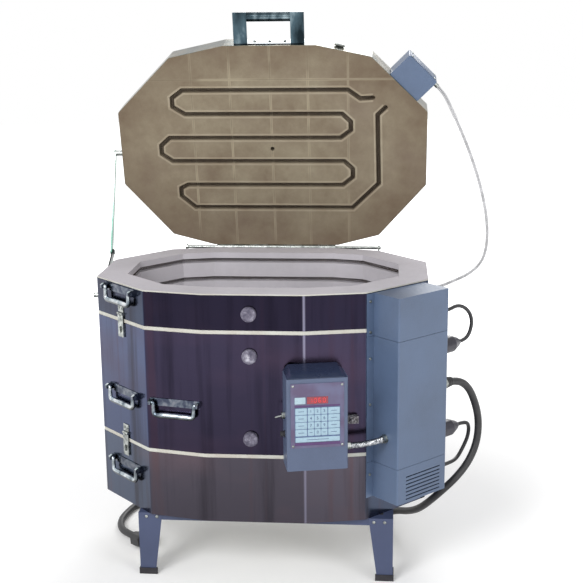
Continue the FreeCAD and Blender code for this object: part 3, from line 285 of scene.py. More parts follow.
cord_black = rubber("cord_rubber", shade(28, 28, 31), 0.42)
supply_width = 0.020
supply_route = [
    (0.4822, -0.1571, 0.515), (0.5148, -0.1246, 0.515), (0.5494, -0.0942, 0.486), (0.5728, -0.0737, 0.423),
    (0.5805, -0.0673, 0.37), (0.5749, -0.0729, 0.318), (0.5537, -0.0927, 0.273), (0.5204, -0.1189, 0.238),
    (0.4808, -0.1359, 0.205), (0.444, -0.098, 0.152), (0.42, -0.048, 0.112), (0.394, 0.014, 0.078),
    (0.368, 0.072, 0.054), (0.334, 0.118, 0.026), (0.29, 0.148, 0.012), (0.232, 0.16, 0.01),
    (0.162, 0.163, 0.01), (0.084, 0.169, 0.01), (0.002, 0.172, 0.01), (-0.082, 0.17, 0.01),
    (-0.166, 0.173, 0.01), (-0.248, 0.172, 0.01), (-0.322, 0.179, 0.01), (-0.382, 0.184, 0.01),
    (-0.422, 0.16, 0.01), (-0.437, 0.104, 0.01), (-0.443, 0.048, 0.01), (-0.431, -0.003, 0.01),
    (-0.403, -0.044, 0.013), (-0.372, -0.074, 0.019),
]
supply = cord_curve("supply_cord", supply_route, supply_width, cord_black)
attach(supply, "kiln")
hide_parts("power_cord")
dress(cord_black, "power_plug")
blade_finish, tree, shader = new_finish("blade_brass", shade(196, 176, 120), 0.28, 1.0)
scuffs = pattern(tree, "Noise", Scale=260, Detail=4)
polish(tree, shader, scuffs, 0.18, 0.45)
dress(blade_finish, "plug_blades")


# Stand. Four tapered legs of folded sheet steel with rails between them, in hammered
# blue-grey paint, each leg in a black rubber cap and bolted to the rails under the body.


def hammered(name, colour, rough=0.36):
    """Hammered paint: small soft dimples with a painted highlight on their raised rims, cloudy colour and a few
    dull scuffs.
    """
    finish, tree, shader = new_finish(name, colour, rough)
    cloud = pattern(tree, "Noise", Scale=5, Detail=5, Roughness=0.6)
    dimple = pattern(tree, "Voronoi", Scale=330)
    paler = toned(colour, 1.16)
    base = band(tree, cloud.outputs["Fac"], ((0.3, toned(colour, 0.82)), (0.5, colour), (0.74, paler)))
    # Painted highlight: the dimple rims, which the bump raises, are painted paler.
    painted_rim_highlight = between(tree, dimple.outputs["Distance"], 0.0, 0.3)
    tree.links.new(over(tree, base, paler, painted_rim_highlight), shader.inputs["Base Color"])
    polish(tree, shader, cloud, rough - 0.1, rough + 0.14)
    relief(tree, shader, dimple.outputs["Distance"], 0.00045, 0.32)
    return finish


def begin(kind, name, **how):
    """A new primitive, alone in the selection."""
    bpy.ops.object.select_all(action="DESELECT")
    getattr(bpy.ops.mesh, f"primitive_{kind}_add")(**how)
    piece = bpy.context.object
    piece.name = name
    return piece


def pick(piece, wanted, kind="FACE"):
    """Goes into edit mode with only those faces or edges selected that wanted(one) accepts."""
    bpy.ops.object.mode_set(mode="EDIT")
    bpy.ops.mesh.select_mode(type=kind)
    bpy.ops.mesh.select_all(action="DESELECT")
    bpy.ops.object.mode_set(mode="OBJECT")
    for one in piece.data.polygons if kind == "FACE" else piece.data.edges:
        one.select = wanted(one)
    bpy.ops.object.mode_set(mode="EDIT")


def reshape(piece, kind, **settings):
    """Adds a modifier with its settings to the active piece and applies it."""
    modifier = piece.modifiers.new("reshape", kind)
    for word, value in settings.items():
        setattr(modifier, word, value)
    bpy.ops.object.modifier_apply(modifier="reshape")


def ease(piece, width, steps=2, angle=30):
    """Rounds the sharp edges of a piece and smooths the rest."""
    bpy.ops.object.mode_set(mode="OBJECT")
    reshape(piece, "BEVEL", width=width, segments=steps, limit_method="ANGLE",
            angle_limit=math.radians(angle))
    bpy.ops.object.shade_smooth_by_angle(angle=math.radians(40))


def fix(piece, place, body, finish):
    """Moves a modelled piece to its place in its own mesh, and fastens it to a body."""
    bpy.ops.object.mode_set(mode="OBJECT")
    piece.data.transform(place @ piece.matrix_world)
    piece.matrix_world = Matrix.Identity(4)
    piece.data.materials.clear()
    piece.data.materials.append(finish)
    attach(piece, body)


def facing(along, up):
    """A turn that points X along, Y up and Z out of a surface."""
    along = Vector(along).normalized()
    up = Vector(up).normalized()
    out = along.cross(up)
    return Matrix((along, up, out)).transposed().to_4x4()


def on_side(start, end, run, level):
    """A place on an upright side of the body, run metres from start towards end."""
    start, end = Vector((*start, 0)), Vector((*end, 0))
    along = (end - start).normalized()
    where = start + along * run + Vector((0, 0, level))
    return Matrix.Translation(where) @ facing(along, (0, 0, 1))


def at(x, y, z=0.0):
    """A step from a place, along its own X, Y and Z."""
    return Matrix.Translation((x, y, z))


def screw_heads(name, places, radius, body="kiln"):
    """Zinc pan-head screws with a flat recess, one mesh copied to every place."""
    pattern_head = begin("cylinder", name, vertices=20, radius=radius, depth=radius * 0.7,
                         location=(0, 0, radius * 0.35))
    pick(pattern_head, lambda face: face.normal.z > 0.9)
    bpy.ops.mesh.bevel(offset=radius * 0.28, segments=2)
    pick(pattern_head, lambda face: face.normal.z > 0.98)
    bpy.ops.mesh.inset(thickness=radius * 0.24)
    bpy.ops.mesh.extrude_region_move(TRANSFORM_OT_translate={"value": (0, 0, -radius * 0.34)})
    bpy.ops.object.mode_set(mode="OBJECT")
    bpy.ops.object.shade_smooth_by_angle(angle=math.radians(35))
    for number, place in enumerate(places, start=1):
        head = pattern_head.copy()
        head.data = pattern_head.data.copy()
        head.name = f"{name}_{number}"
        scene.collection.objects.link(head)
        bpy.context.view_layer.objects.active = head
        fix(head, place, body, bright_zinc)
    bpy.data.objects.remove(pattern_head)


def part_of(tree, vector, word):
    """The X, Y or Z of a vector in a node tree."""
    split = tree.nodes.new("ShaderNodeSeparateXYZ")
    tree.links.new(vector, split.inputs[0])
    return split.outputs[word]


def surface_faces(tree):
    """The way that the surface faces."""
    return tree.nodes.new("ShaderNodeNewGeometry").outputs["Normal"]


def sky_lit(tree, base, under, level):
    """Painted reflection and shade on a bright metal: darker where it faces down or sideways, as a polished
    piece looks in a room.
    """
    height = between(tree, part_of(tree, surface_faces(tree), "Z"), 0, 1, -1, 1)
    tone = band(tree, height, ((0.0, (under,) * 3), (0.42, (under * 1.6,) * 3), (0.5, (level,) * 3),
                               (0.72, (1.0,) * 3)))
    return over(tree, base, tone, 1.0, mode="MULTIPLY")


stand_paint = hammered("stand_paint", shade(64, 73, 102), 0.4)
dress(stand_paint, "legs", "rails")
cap_rubber = rubber("cap_rubber", shade(30, 28, 34), 0.5)
dress(cap_rubber, "foot_caps")
bright_zinc, tree, shader = new_finish("bright_zinc", shade(150, 156, 156), 0.26, 1.0)
spangle = pattern(tree, "Voronoi", Scale=140)
smear = pattern(tree, "Noise", Scale=70, Detail=5)
base = band(tree, spangle.outputs["Distance"], ((0.0, shade(150, 156, 158)), (0.6, shade(198, 202, 198))))
worn_zinc = over(tree, base, shade(84, 90, 88), between(tree, smear.outputs["Fac"], 0, 0.8, 0.45, 0.7))
# Painted reflection and shade on the zinc, by the way each face turns, through sky_lit.
tree.links.new(sky_lit(tree, worn_zinc, 0.3, 0.72), shader.inputs["Base Color"])
polish(tree, shader, smear, 0.16, 0.42)
relief(tree, shader, smear.outputs["Fac"], 0.0001, 0.3)
leg_bolts = []
leg_half, leg_face, bolt_level, bolt_half_gap = 0.036, 0.257, 0.165, 0.014
for side_x, leg_edge in ((-1, -0.318), (1, 0.353)):
    for side_y in (-1, 1):
        leg_front = Matrix.Translation((leg_edge - side_x * leg_half, side_y * leg_face, bolt_level))
        leg_front = leg_front @ facing((-side_y, 0, 0), (0, 0, 1))
        leg_bolts += [leg_front @ at(-bolt_half_gap, 0), leg_front @ at(bolt_half_gap, 0)]
screw_heads("leg_bolt", leg_bolts, 0.0042)

# Brickwork. Soft insulating firebrick, mitred and cemented into three rings and a floor,
# pale and open-pored, with a thin lilac-grey coating on the rim and down the hot face.


def firebrick(name, light, dark, coat=None, joints=None):
    """Pitted brick. coat colours what faces up or inwards; joints(tree) gives the cement lines."""
    finish, tree, shader = new_finish(name, light, 0.92)
    cloud = pattern(tree, "Noise", Scale=9, Detail=8, Roughness=0.65)
    base = band(tree, cloud.outputs["Fac"], ((0.32, dark), (0.68, light)))
    if coat:
        away_level = reckon_vector(tree, "MULTIPLY", surface_faces(tree), (-1, -1, 0))
        inward = reckon_vector(tree, "DOT_PRODUCT", own_place(tree), away_level)
        top = between(tree, part_of(tree, surface_faces(tree), "Z"), 0, 1, 0.6, 0.8)
        hot = between(tree, inward, 0, 1, 0.02, 0.08)
        patchy = pattern(tree, "Noise", Scale=4, Detail=6, Roughness=0.7)
        worn = band(tree, patchy.outputs["Fac"], ((0.35, toned(coat, 0.86)), (0.62, coat)))
        base = over(tree, base, worn, top)
        base = over(tree, base, worn, hot)
    # Painted shade in the pores: the holes that the bump sinks are also painted darker.
    pores = pattern(tree, "Voronoi", Scale=420)
    holes = between(tree, pores.outputs["Distance"], 0.5, 0, 0.0, 0.22)
    base = over(tree, base, toned(dark, 0.5), holes)
    base = joint_lines(tree, base, joints, light) if joints else base
    tree.links.new(base, shader.inputs["Base Color"])
    grit = pattern(tree, "Noise", Scale=160, Detail=8, Roughness=0.7)
    relief(tree, shader, grit.outputs["Fac"], 0.0009, 0.55)
    relief(tree, shader, holes, -0.0008, 0.5)
    return finish


def line_mask(tree, value, place, width):
    """1 within width of a place along one axis, fading at its edges."""
    away = reckon(tree, "ABSOLUTE", reckon(tree, "SUBTRACT", value, place))
    return between(tree, away, 1, 0, width * 0.5, width)


def joint_lines(tree, base, joints, light):
    """Pale cement joints, rubbed off in patches, with a thin line of painted shade in the middle."""
    cement, seam = 0.0042, 0.0012
    rubbed = pattern(tree, "Noise", Scale=8, Detail=2)
    still_there = between(tree, rubbed.outputs["Fac"], 0.2, 1.0, 0.4, 0.56)
    for value, place in joints(tree):
        patchy = reckon(tree, "MULTIPLY", line_mask(tree, value, place, cement), still_there)
        base = over(tree, base, toned(light, 1.28), patchy, share=0.9)
        # The thin dark line in the middle of each joint is painted shade where the bricks meet.
        base = over(tree, base, toned(light, 0.42), line_mask(tree, value, place, seam), share=0.5)
    return base


wall_brick = firebrick("wall_brick", shade(206, 208, 200), shade(186, 180, 170), coat=shade(200, 196, 202))
dress(wall_brick, "bottom_bricks", "middle_bricks", "top_bricks", "floor_slab")

# Jackets. Three belts of thin polished stainless steel folded round the bricks, closed by a
# riveted lap at the back; painted reflection makes them almost black-violet in front and
# blue-grey at the folds.
front_right = (0.128, -0.298)


def jacket_steel(name, front, folds, ends):
    """Polished sheet, streaked and tinted by heat. The tone that turns with the way a side faces is painted
    reflection.
    """
    finish, tree, shader = new_finish(name, front, 0.16, 1.0)
    # Painted reflection: the base tone goes by the way a side faces, dark in front and paler at the folds and
    # ends.
    turned = between(tree, part_of(tree, surface_faces(tree), "X"), 0, 1, -1, 1)
    base = band(tree, turned, ((0.0, ends), (0.09, folds), (0.2, folds), (0.33, front), (0.52, front),
                               (0.63, toned(front, 1.35)), (0.86, folds), (1.0, ends)))
    streak = pattern(tree, "Noise", stretch=(26, 26, 1.1), Scale=1.0, Detail=7, Roughness=0.62)
    cloud = pattern(tree, "Noise", stretch=(3.2, 3.2, 5.5), Scale=1.0, Detail=3)
    rust = pattern(tree, "Noise", stretch=(38, 38, 0.9), Scale=1.0, Detail=4)
    for texture, tint, start, end, share in ((streak, (0.42, 0.42, 0.42), 0.48, 0.7, 0.7),
                                             (cloud, (1.9, 1.45, 1.3), 0.5, 0.75, 0.5),
                                             (rust, (1.5, 0.8, 0.6), 0.56, 0.7, 0.3)):
        tinted = tuple(part * times for part, times in zip(front, tint))
        base = over(tree, base, tinted, between(tree, texture.outputs["Fac"], 0, 1, start, end), share=share)
    # A painted highlight down the front right bend of the jacket.
    level = reckon_vector(tree, "MULTIPLY", own_place(tree), (1, 1, 0))
    off_bend = reckon_vector(tree, "DISTANCE", level, (*front_right, 0))
    base = over(tree, base, shade(150, 148, 170), between(tree, off_bend, 1, 0, 0.0004, 0.0046), share=0.5)
    tree.links.new(base, shader.inputs["Base Color"])
    polish(tree, shader, streak, 0.1, 0.3)
    brushed = pattern(tree, "Noise", stretch=(900, 900, 18), Scale=1.0, Detail=3)
    relief(tree, shader, brushed.outputs["Fac"], 0.00006, 0.25)
    relief(tree, shader, cloud.outputs["Fac"], 0.004, 0.35)
    return finish


# Each belt and the lap get their own painted reflection tones for front, folds and ends.
for name, front, folds, ends in (("top", (30, 27, 40), (48, 56, 74), (104, 112, 130)),
                                 ("middle", (46, 42, 58), (66, 74, 100), (160, 166, 178)),
                                 ("bottom", (74, 70, 79), (74, 82, 100), (140, 144, 156))):
    dress(jacket_steel(f"{name}_steel", shade(*front), shade(*folds), shade(*ends)), f"{name}_jacket")
lap_steel = jacket_steel("lap_steel", shade(66, 62, 76), shade(96, 102, 122), shade(150, 154, 164))
back_left = (-0.184, 0.298)
back_right = (0.184, 0.298)
lap_run = 0.33
lap_wide = 0.03
lap_thick = 0.0008


def block(name, size, centre=(0, 0, 0)):
    """A cube stretched to a size about its centre."""
    cube = begin("cube", name, size=1, scale=size, location=centre)
    bpy.ops.object.transform_apply(location=True, rotation=False, scale=True)
    return cube


for name, low, high in (("bottom", 0.1765, 0.3485), ("middle", 0.3615, 0.6755), ("top", 0.6885, 0.7072)):
    lap = block(f"{name}_lap", (lap_wide, high - low, lap_thick), (0, (high + low) / 2, lap_thick / 2))
    pick(lap, lambda face: face.normal.z > 0.9)
    bpy.ops.mesh.inset(thickness=0.0012)
    bpy.ops.mesh.extrude_region_move(TRANSFORM_OT_translate={"value": (0, 0, 0.0003)})
    ease(lap, 0.0002, 1)
    fix(lap, on_side(back_right, back_left, lap_run, 0), "kiln", lap_steel)
rivets = [on_side(back_right, back_left, lap_run, level) @ at(0, 0, 0.001)
          for level in (0.19, 0.232, 0.29, 0.335, 0.375, 0.43, 0.49, 0.55, 0.61, 0.66)]
screw_heads("lap_rivet", rivets, 0.0034)

# Heating elements. Coils of resistance wire that lie in the grooves of the brick, ten turns
# of groove round the chamber, grey-brown with oxide. The CAD carries them as plain rings.
shoulder_right = (0.281, -0.265)
end_right = (0.438, -0.108)
oval_half = [front_right, shoulder_right, end_right, (0.438, 0.108), (0.304, 0.265), back_right]
oval = oval_half + [(-x, y) for x, y in reversed(oval_half)]


def mottled(name, colour, rough, metal, stops, gloss=(), bumps=(), stretch=(1, 1, 1), **noise):
    """A finish coloured by one noise, which may also move its gloss and raise bumps."""
    finish, tree, shader = new_finish(name, colour, rough, metal)
    texture = pattern(tree, "Noise", stretch, **noise)
    paint(tree, shader, texture, *stops)
    if gloss:
        polish(tree, shader, texture, *gloss)
    if bumps:
        relief(tree, shader, texture.outputs["Fac"], *bumps)
    return finish


oxide = mottled("oxide_wire", shade(70, 62, 58), 0.62, 0.6,
                ((0.35, shade(52, 46, 44)), (0.7, shade(112, 98, 88))),
                bumps=(0.0002, 0.6), Scale=300, Detail=5)


def beside(points, distance, closed=False):
    """A level route moved to its left by distance, with its corners mitred."""
    flat = [Vector(point) for point in points]
    last = len(flat) - 1
    moved = []
    for number, point in enumerate(flat):
        first = (point - flat[number - 1]).normalized()
        second = (flat[number + 1 if number < last else 0] - point).normalized()
        if not closed and number == 0:
            first = second
        if not closed and number == last:
            second = first
        sideways = Vector((-first.y - second.y, first.x + second.x)).normalized()
        moved.append(point + sideways * (distance / math.cos(first.angle(second) / 2)))
    return moved


def face_outwards():
    """Turns all the faces of the active piece outwards."""
    bpy.ops.object.mode_set(mode="EDIT")
    bpy.ops.mesh.select_all(action="SELECT")
    bpy.ops.mesh.normals_make_consistent(inside=False)
    bpy.ops.object.mode_set(mode="OBJECT")


def coil_along(name, points, closed, radius, wire, pitch, turn_sides=8, wire_sides=4):
    """One turn of wire made with a screw, repeated and bent along a route."""
    route, run = new_line(f"{name}_track", points, "POLY")
    run.use_cyclic_u = closed
    length = run.calc_length()
    turns = round(length / pitch)
    coil = begin("circle", name, vertices=wire_sides, radius=wire, location=(0, 0, radius),
                 rotation=(math.pi / 2, 0, 0))
    bpy.ops.object.transform_apply(location=True, rotation=True, scale=True)
    reshape(coil, "SCREW", axis="X", steps=turn_sides, render_steps=turn_sides, screw_offset=length / turns,
            use_normal_flip=False)
    reshape(coil, "ARRAY", count=turns, use_relative_offset=False, use_constant_offset=True,
            constant_offset_displace=(length / turns, 0, 0), use_merge_vertices=True, merge_threshold=0.0001)
    reshape(coil, "CURVE", object=route)
    bpy.data.objects.remove(route)
    face_outwards()
    bpy.ops.object.shade_smooth()
    return coil


jacket_thick, wall_thick, groove_deep, coil_off_groove = 0.0009, 0.076, 0.014, 0.0065
groove_line = beside(oval, jacket_thick + wall_thick - groove_deep + coil_off_groove, closed=True)
lowest_coil, coil_step = 0.2683, 0.0544
coil_radius, coil_wire, coil_pitch = 0.0042, 0.0008, 0.0056
for number in range(10):
    ring = [(corner.x, corner.y, lowest_coil + coil_step * number) for corner in groove_line]
    coil = coil_along(f"wall_coil_{number + 1}", ring, True, coil_radius, coil_wire, coil_pitch)
    fix(coil, Matrix.Identity(4), "kiln", oxide)
    if number == 0:
        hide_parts("wall_elements")

# Chest handles. Pressed bracket plates screwed to the jackets, each with a swinging bail of
# thick chromed rod that hangs down on its plate.
chrome, tree, shader = new_finish("handle_chrome_finish", shade(186, 196, 202), 0.12, 1.0)
haze_and_reflection = pattern(tree, "Noise", Scale=70, Detail=6)
# The chrome's tone is painted reflection: a noise from dark to near white, the flat front faces painted dark,
# and painted shade through sky_lit where it faces down.
base = band(tree, haze_and_reflection.outputs["Fac"], ((0.38, shade(66, 84, 90)), (0.5, shade(168, 184, 188)),
                                        (0.62, shade(232, 238, 240))))
flat_face = between(tree, part_of(tree, surface_faces(tree), "Y"), 0, 1, -0.6, -0.69)
base = over(tree, base, shade(58, 60, 78), flat_face, share=0.85)
tree.links.new(sky_lit(tree, base, 0.35, 0.9), shader.inputs["Base Color"])
polish(tree, shader, haze_and_reflection, 0.05, 0.26)
dress(chrome, "handle_brackets")
rod_chrome, tree, shader = new_finish("bail_chrome", shade(150, 162, 172), 0.1, 1.0)
# The bail's tone is painted reflection: streaks of painted highlight up to near white, darkened through sky_lit
# where the rod faces down.
streak = pattern(tree, "Noise", Scale=34, Detail=4)
base = band(tree, streak.outputs["Fac"], ((0.36, shade(110, 122, 134)), (0.52, shade(196, 206, 212)),
                                          (0.66, shade(246, 248, 250))))
tree.links.new(sky_lit(tree, base, 0.1, 0.4), shader.inputs["Base Color"])


def alone(piece):
    """Leaves only this piece selected, and active."""
    bpy.ops.object.select_all(action="DESELECT")
    bpy.context.view_layer.objects.active = piece
    piece.select_set(True)


grip_thick = 0.015
half_bail = ((0.068, 0.0, 0.58), (0.061, 0.0, 0.58), (0.0562, 0.0, 0.62), (0.0552, -0.006, 0.66),
             (0.0552, -0.019, 0.68), (0.0535, -0.0325, 0.84), (0.036, -0.0325, 1.0), (0.016, -0.032, 1.0))
bail_route = [(-x, y, share) for x, y, share in half_bail] + list(reversed(half_bail))
front_along, left_along = (0.977521, -0.210838, 0), (0.707107, -0.707107, 0)
for side, pivot, along in (("front", (-0.207073, -0.292198, 0.489), front_along),
                           ("left_high", (-0.363754, -0.197803, 0.764), left_along),
                           ("left_middle", (-0.363754, -0.197803, 0.489), left_along),
                           ("left_low", (-0.363754, -0.197803, 0.287), left_along)):
    rod = cord_curve(f"{side}_bail_rod", [(x, y, 0) for x, y, share in bail_route], grip_thick, rod_chrome)
    for knot, (x, y, share) in zip(rod.data.splines[0].points, bail_route):
        knot.radius = share
    alone(rod)
    bpy.ops.object.convert(target="MESH")
    bpy.ops.object.shade_smooth()
    bail_place = Matrix.Translation(pivot) @ facing(along, (0, 0, 1))
    fix(rod, bail_place, f"bail_{side}", rod_chrome)
    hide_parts(f"handle_{side}_bail")

# Hasps. A steel strap hinged on the upper jacket drops over a staple on the lower one and
# keeps two sections of the kiln together. Bright zinc, screwed on.
dress(bright_zinc, "hasp_plates", "hasp_high_strap", "hasp_low_strap")
end_left = (-0.438, -0.108)
shoulder_left = (-0.281, -0.265)
hasp_heads = []
for joint_level in (0.682, 0.355):
    hasp_place = on_side(end_left, shoulder_left, 0.117, joint_level)
    hasp_heads += [hasp_place @ at(x, y, 0.002) for x, y in ((-0.007, 0.033), (0.007, 0.033))]
screw_heads("hasp_screw", hasp_heads, 0.003)

# Peephole plugs. Turned from hard white ceramic, chalky and chipped round the edge, with a
# taper that sits in the brick. They pull straight out.
plug_ceramic, tree, shader = new_finish("plug_ceramic_finish", shade(206, 202, 206), 0.6)
fleck = pattern(tree, "Voronoi", Scale=190)
stain = pattern(tree, "Noise", Scale=60, Detail=6, Roughness=0.7)
base = band(tree, stain.outputs["Fac"], ((0.38, shade(70, 66, 84)), (0.54, shade(116, 112, 128)),
                                         (0.68, shade(188, 186, 196))))
tree.links.new(over(tree, base, shade(74, 70, 88), between(tree, fleck.outputs["Distance"], 0.5, 0, 0, 0.24)),
               shader.inputs["Base Color"])
relief(tree, shader, stain.outputs["Fac"], 0.0012, 0.6)
dress(plug_ceramic, "peephole_plug_low", "peephole_plug_middle", "peephole_plug_high")

# Control box. Three folded steel covers stacked on the right front side over the relays and
# terminals, hammered blue-grey, screwed on through a flange, louvred at the bottom for air.
box_paint = hammered("box_paint", shade(84, 101, 128))
dress(box_paint, "control_box_bottom", "control_box_middle", "control_box_top")
flange_screws = [on_side(shoulder_right, end_right, 0.0125, level) @ at(0, 0, 0.0015)
                 for level in (0.297, 0.486, 0.607, 0.676, 0.755)]
screw_heads("flange_screw", flange_screws, 0.0038)

# Controller. A folded steel case hung in front of the jacket, with a sloped hood painted darker
# than the case as painted shade and reflection, a front plate that carries a red digit display
# and a membrane keypad, a toggle switch and a fuse.
body_low = 0.175
case_frame = on_side(front_right, shoulder_right, 0, body_low)


def edge_ends(piece, edge):
    """The two ends of an edge."""
    return [piece.data.vertices[index].co for index in edge.vertices]


def flat_plate(name, place, low, high, thick, rounding, body, finish):
    """A thin plate with rounded corners and an eased rim, on the XY face of a place."""
    plate = block(name, (high[0] - low[0], high[1] - low[1], thick),
                  ((low[0] + high[0]) / 2, (low[1] + high[1]) / 2, thick / 2))
    pick(plate, lambda edge: len({round(end.z, 5) for end in edge_ends(plate, edge)}) > 1, "EDGE")
    bpy.ops.mesh.bevel(offset=rounding, segments=4)
    ease(plate, thick * 0.3, 2, 50)
    fix(plate, place, body, finish)


case_paint = hammered("case_paint_finish", shade(80, 92, 118), 0.38)
dress(case_paint, "controller_case", "controller_bracket")
# The hood is painted darker than the case: painted shade and reflection on its top.
shaded_hood_paint = hammered("shaded_hood_paint", shade(42, 52, 76), 0.26)
hood_low = 0.416
hood_wide, hood_tall, hood_deep = 0.149, 0.014, 0.0845
hood_slope = 0.012
hood_middle = (0.020, hood_low + 0.0072, 0.0427)
hood = block("case_hood", (hood_wide, hood_tall, hood_deep), hood_middle)
pick(hood, lambda face: face.normal.y > 0.9)
bpy.ops.transform.resize(value=(0.83, 1, 1), center_override=hood_middle)
middle_y, middle_z = hood_middle[1:]
pick(hood, lambda edge: all(end.y > middle_y and end.z > middle_z for end in edge_ends(hood, edge)), "EDGE")
bpy.ops.transform.translate(value=(0, -hood_slope, 0))
ease(hood, 0.0012, 2)
fix(hood, case_frame, "kiln", shaded_hood_paint)
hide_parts("controller_hood")
plate_grey = mottled("front_plate", shade(104, 108, 138), 0.34, 0,
                     ((0.35, shade(86, 74, 104)), (0.65, shade(98, 98, 128))),
                     gloss=(0.26, 0.46), Scale=22, Detail=6)
dress(plate_grey, "controller_panel")
window_red = mottled("window_red", shade(96, 12, 20), 0.12, 0,
                     ((0.3, shade(112, 4, 26)), (0.7, shade(146, 6, 38))), Scale=90, Detail=3)
window_red.node_tree.nodes["Principled BSDF"].inputs["Coat Weight"].default_value = 0.6
dress(window_red, "display_window")
key_blue = mottled("key_membrane", shade(84, 104, 138), 0.5, 0,
                   ((0.35, shade(74, 92, 128)), (0.66, shade(96, 116, 150))),
                   bumps=(0.0001, 0.3), Scale=160, Detail=4)
dress(key_blue, "keypad")


def printed(name, colour, rough=0.5, glow=0.0):
    """Ink or film with slight mottling."""
    finish, tree, shader = new_finish(name, colour, rough)
    mottle = pattern(tree, "Noise", Scale=240, Detail=3)
    paint(tree, shader, mottle, (0.3, toned(colour, 0.85)), (0.7, colour))
    if glow:
        shader.inputs["Emission Color"].default_value = (*colour, 1)
        shader.inputs["Emission Strength"].default_value = glow
    return finish


key_white = printed("key_cap", shade(162, 190, 206), 0.42)
ink_blue = printed("key_ink", shade(62, 72, 118))
plum = printed("plum_strip", shade(84, 56, 104))
tag_white = printed("tag_white", shade(172, 196, 208))
digit_red = printed("digit_red", shade(236, 40, 44), 0.3, 0.35)
panel_face = 0.0876
keypad_face = 0.0884
window_face = 0.08858
panel_frame = case_frame @ at(0, 0, panel_face)
for name, low, high, thick, rounding, finish in (
        ("plum_strip", (-0.036, 0.2465), (0.076, 0.2535), 0.0006, 0.001, plum),
        ("plum_border", (-0.036, 0.3455), (0.076, 0.3495), 0.0006, 0.001, plum),
        ("blank_tag", (-0.036, 0.3535), (-0.0095, 0.3705), 0.0008, 0.0015, tag_white)):
    flat_plate(name, panel_frame, low, high, thick, rounding, "kiln", finish)
key_thick, key_tall, key_row, first_row = 0.0006, 0.0168, 0.0182, 0.3345
side_key_wide, digit_key_wide, digit_column, first_column = 0.0285, 0.0153, 0.0165, 0.0035
keys = []
for row in range(4):
    key_y = first_row - row * key_row
    keys += [(-0.0205, key_y, side_key_wide, key_tall, ""), (0.0605, key_y, side_key_wide, key_tall, "")]
    words = ("", "0", "") if row == 3 else [str(row * 3 + column) for column in (1, 2, 3)]
    for column, word in enumerate(words):
        keys.append((first_column + column * digit_column, key_y, digit_key_wide, key_tall, word))
keys.append((0.020, 0.2617, 0.1095, 0.0122, ""))
for number, (key_x, key_y, wide, tall, word) in enumerate(keys, start=1):
    flat_plate(f"key_{number}", case_frame @ at(key_x, key_y, keypad_face), (-wide / 2, -tall / 2),
               (wide / 2, tall / 2), key_thick, 0.002, "kiln", key_white)
    bpy.ops.object.select_all(action="DESELECT")
    if word:
        bpy.ops.object.text_add()
        mark = bpy.context.object
        mark.data.body = word
        mark.data.size = 0.0105
        mark.data.extrude = 0.0002
        mark.data.align_x = "CENTER"
        mark.data.align_y = "CENTER"
        mark.data.resolution_u = 3
        bpy.ops.object.convert(target="MESH")
        mark = bpy.context.object
    else:
        mark = block("bar", (wide * 0.5, 0.0012, 0.0004))
        ease(mark, 0.00015, 1)
    mark.name = f"key_mark_{number}"
    mark_place = case_frame @ at(key_x, key_y, keypad_face + key_thick + 0.0001)
    fix(mark, mark_place, "kiln", ink_blue)
segments = {"top": (0, 1, 0), "middle": (0, 0, 0), "bottom": (0, -1, 0), "left_high": (-1, 0.5, 1),
            "right_high": (1, 0.5, 1), "left_low": (-1, -0.5, 1), "right_low": (1, -0.5, 1)}
lit = {"1": ("right_high", "right_low"), "0": tuple(name for name in segments if name != "middle"),
       "6": tuple(name for name in segments if name != "right_high")}
digit_half = (0.0028, 0.0050)
first_digit, digit_step, digit_level = 0.0035, 0.011, 0.362


def joined(pieces, name):
    """Joins pieces into one mesh."""
    alone(pieces[0])
    for piece in pieces:
        piece.select_set(True)
    bpy.ops.object.join()
    bpy.context.object.name = name
    return bpy.context.object


for number, digit in enumerate("1060"):
    strokes = []
    for name in lit[digit]:
        across, up, upright = segments[name]
        stroke = begin("cylinder", f"stroke_{name}", vertices=6, radius=0.5, depth=1)
        bpy.ops.transform.resize(value=(digit_half[0] * 1.7, 0.0014, 0.0003))
        bpy.ops.object.transform_apply(location=True, rotation=False, scale=True)
        turn = Matrix.Rotation(math.pi / 2 if upright else 0, 4, "Z")
        stroke.data.transform(at(across * digit_half[0], up * digit_half[1]) @ turn)
        strokes.append(stroke)
    digit_place = case_frame @ at(first_digit + number * digit_step, digit_level, window_face + 0.0002)
    fix(joined(strokes, f"digit_{number + 1}"), digit_place, "kiln", digit_red)
panel_corners = [panel_frame @ at(x, y) for x in (-0.0405, 0.0805) for y in (0.2455, 0.3995)]
screw_heads("panel_screw", panel_corners, 0.0031)
dress(bright_zinc, "switch_base", "toggle_lever")
black_plastic = rubber("black_plastic_finish", shade(32, 31, 36), 0.34)
dress(black_plastic, "fuse_holder")

# Conduit. Flexible steel conduit, wound in ribs, clamped between two fittings; it carries the
# thermocouple lead from the case to the control box. A ceramic block holds the thermocouple.
conduit_route = [
    (0.2435, -0.3215, 0.4), (0.269, -0.316, 0.4), (0.3036, -0.306, 0.404), (0.322, -0.2876, 0.404),
]


def route_points(points):
    """Points read from the smooth line of a route."""
    line = cord_curve("line", points, 0.0, cord_black)
    line.data.bevel_depth = 0
    line.data.use_fill_caps = False
    line.data.splines[0].resolution_u = 6
    bpy.context.view_layer.update()
    shape = bpy.data.meshes.new_from_object(line)
    read = [vertex.co.copy() for vertex in shape.vertices]
    bpy.data.objects.remove(line)
    bpy.data.meshes.remove(shape)
    return read


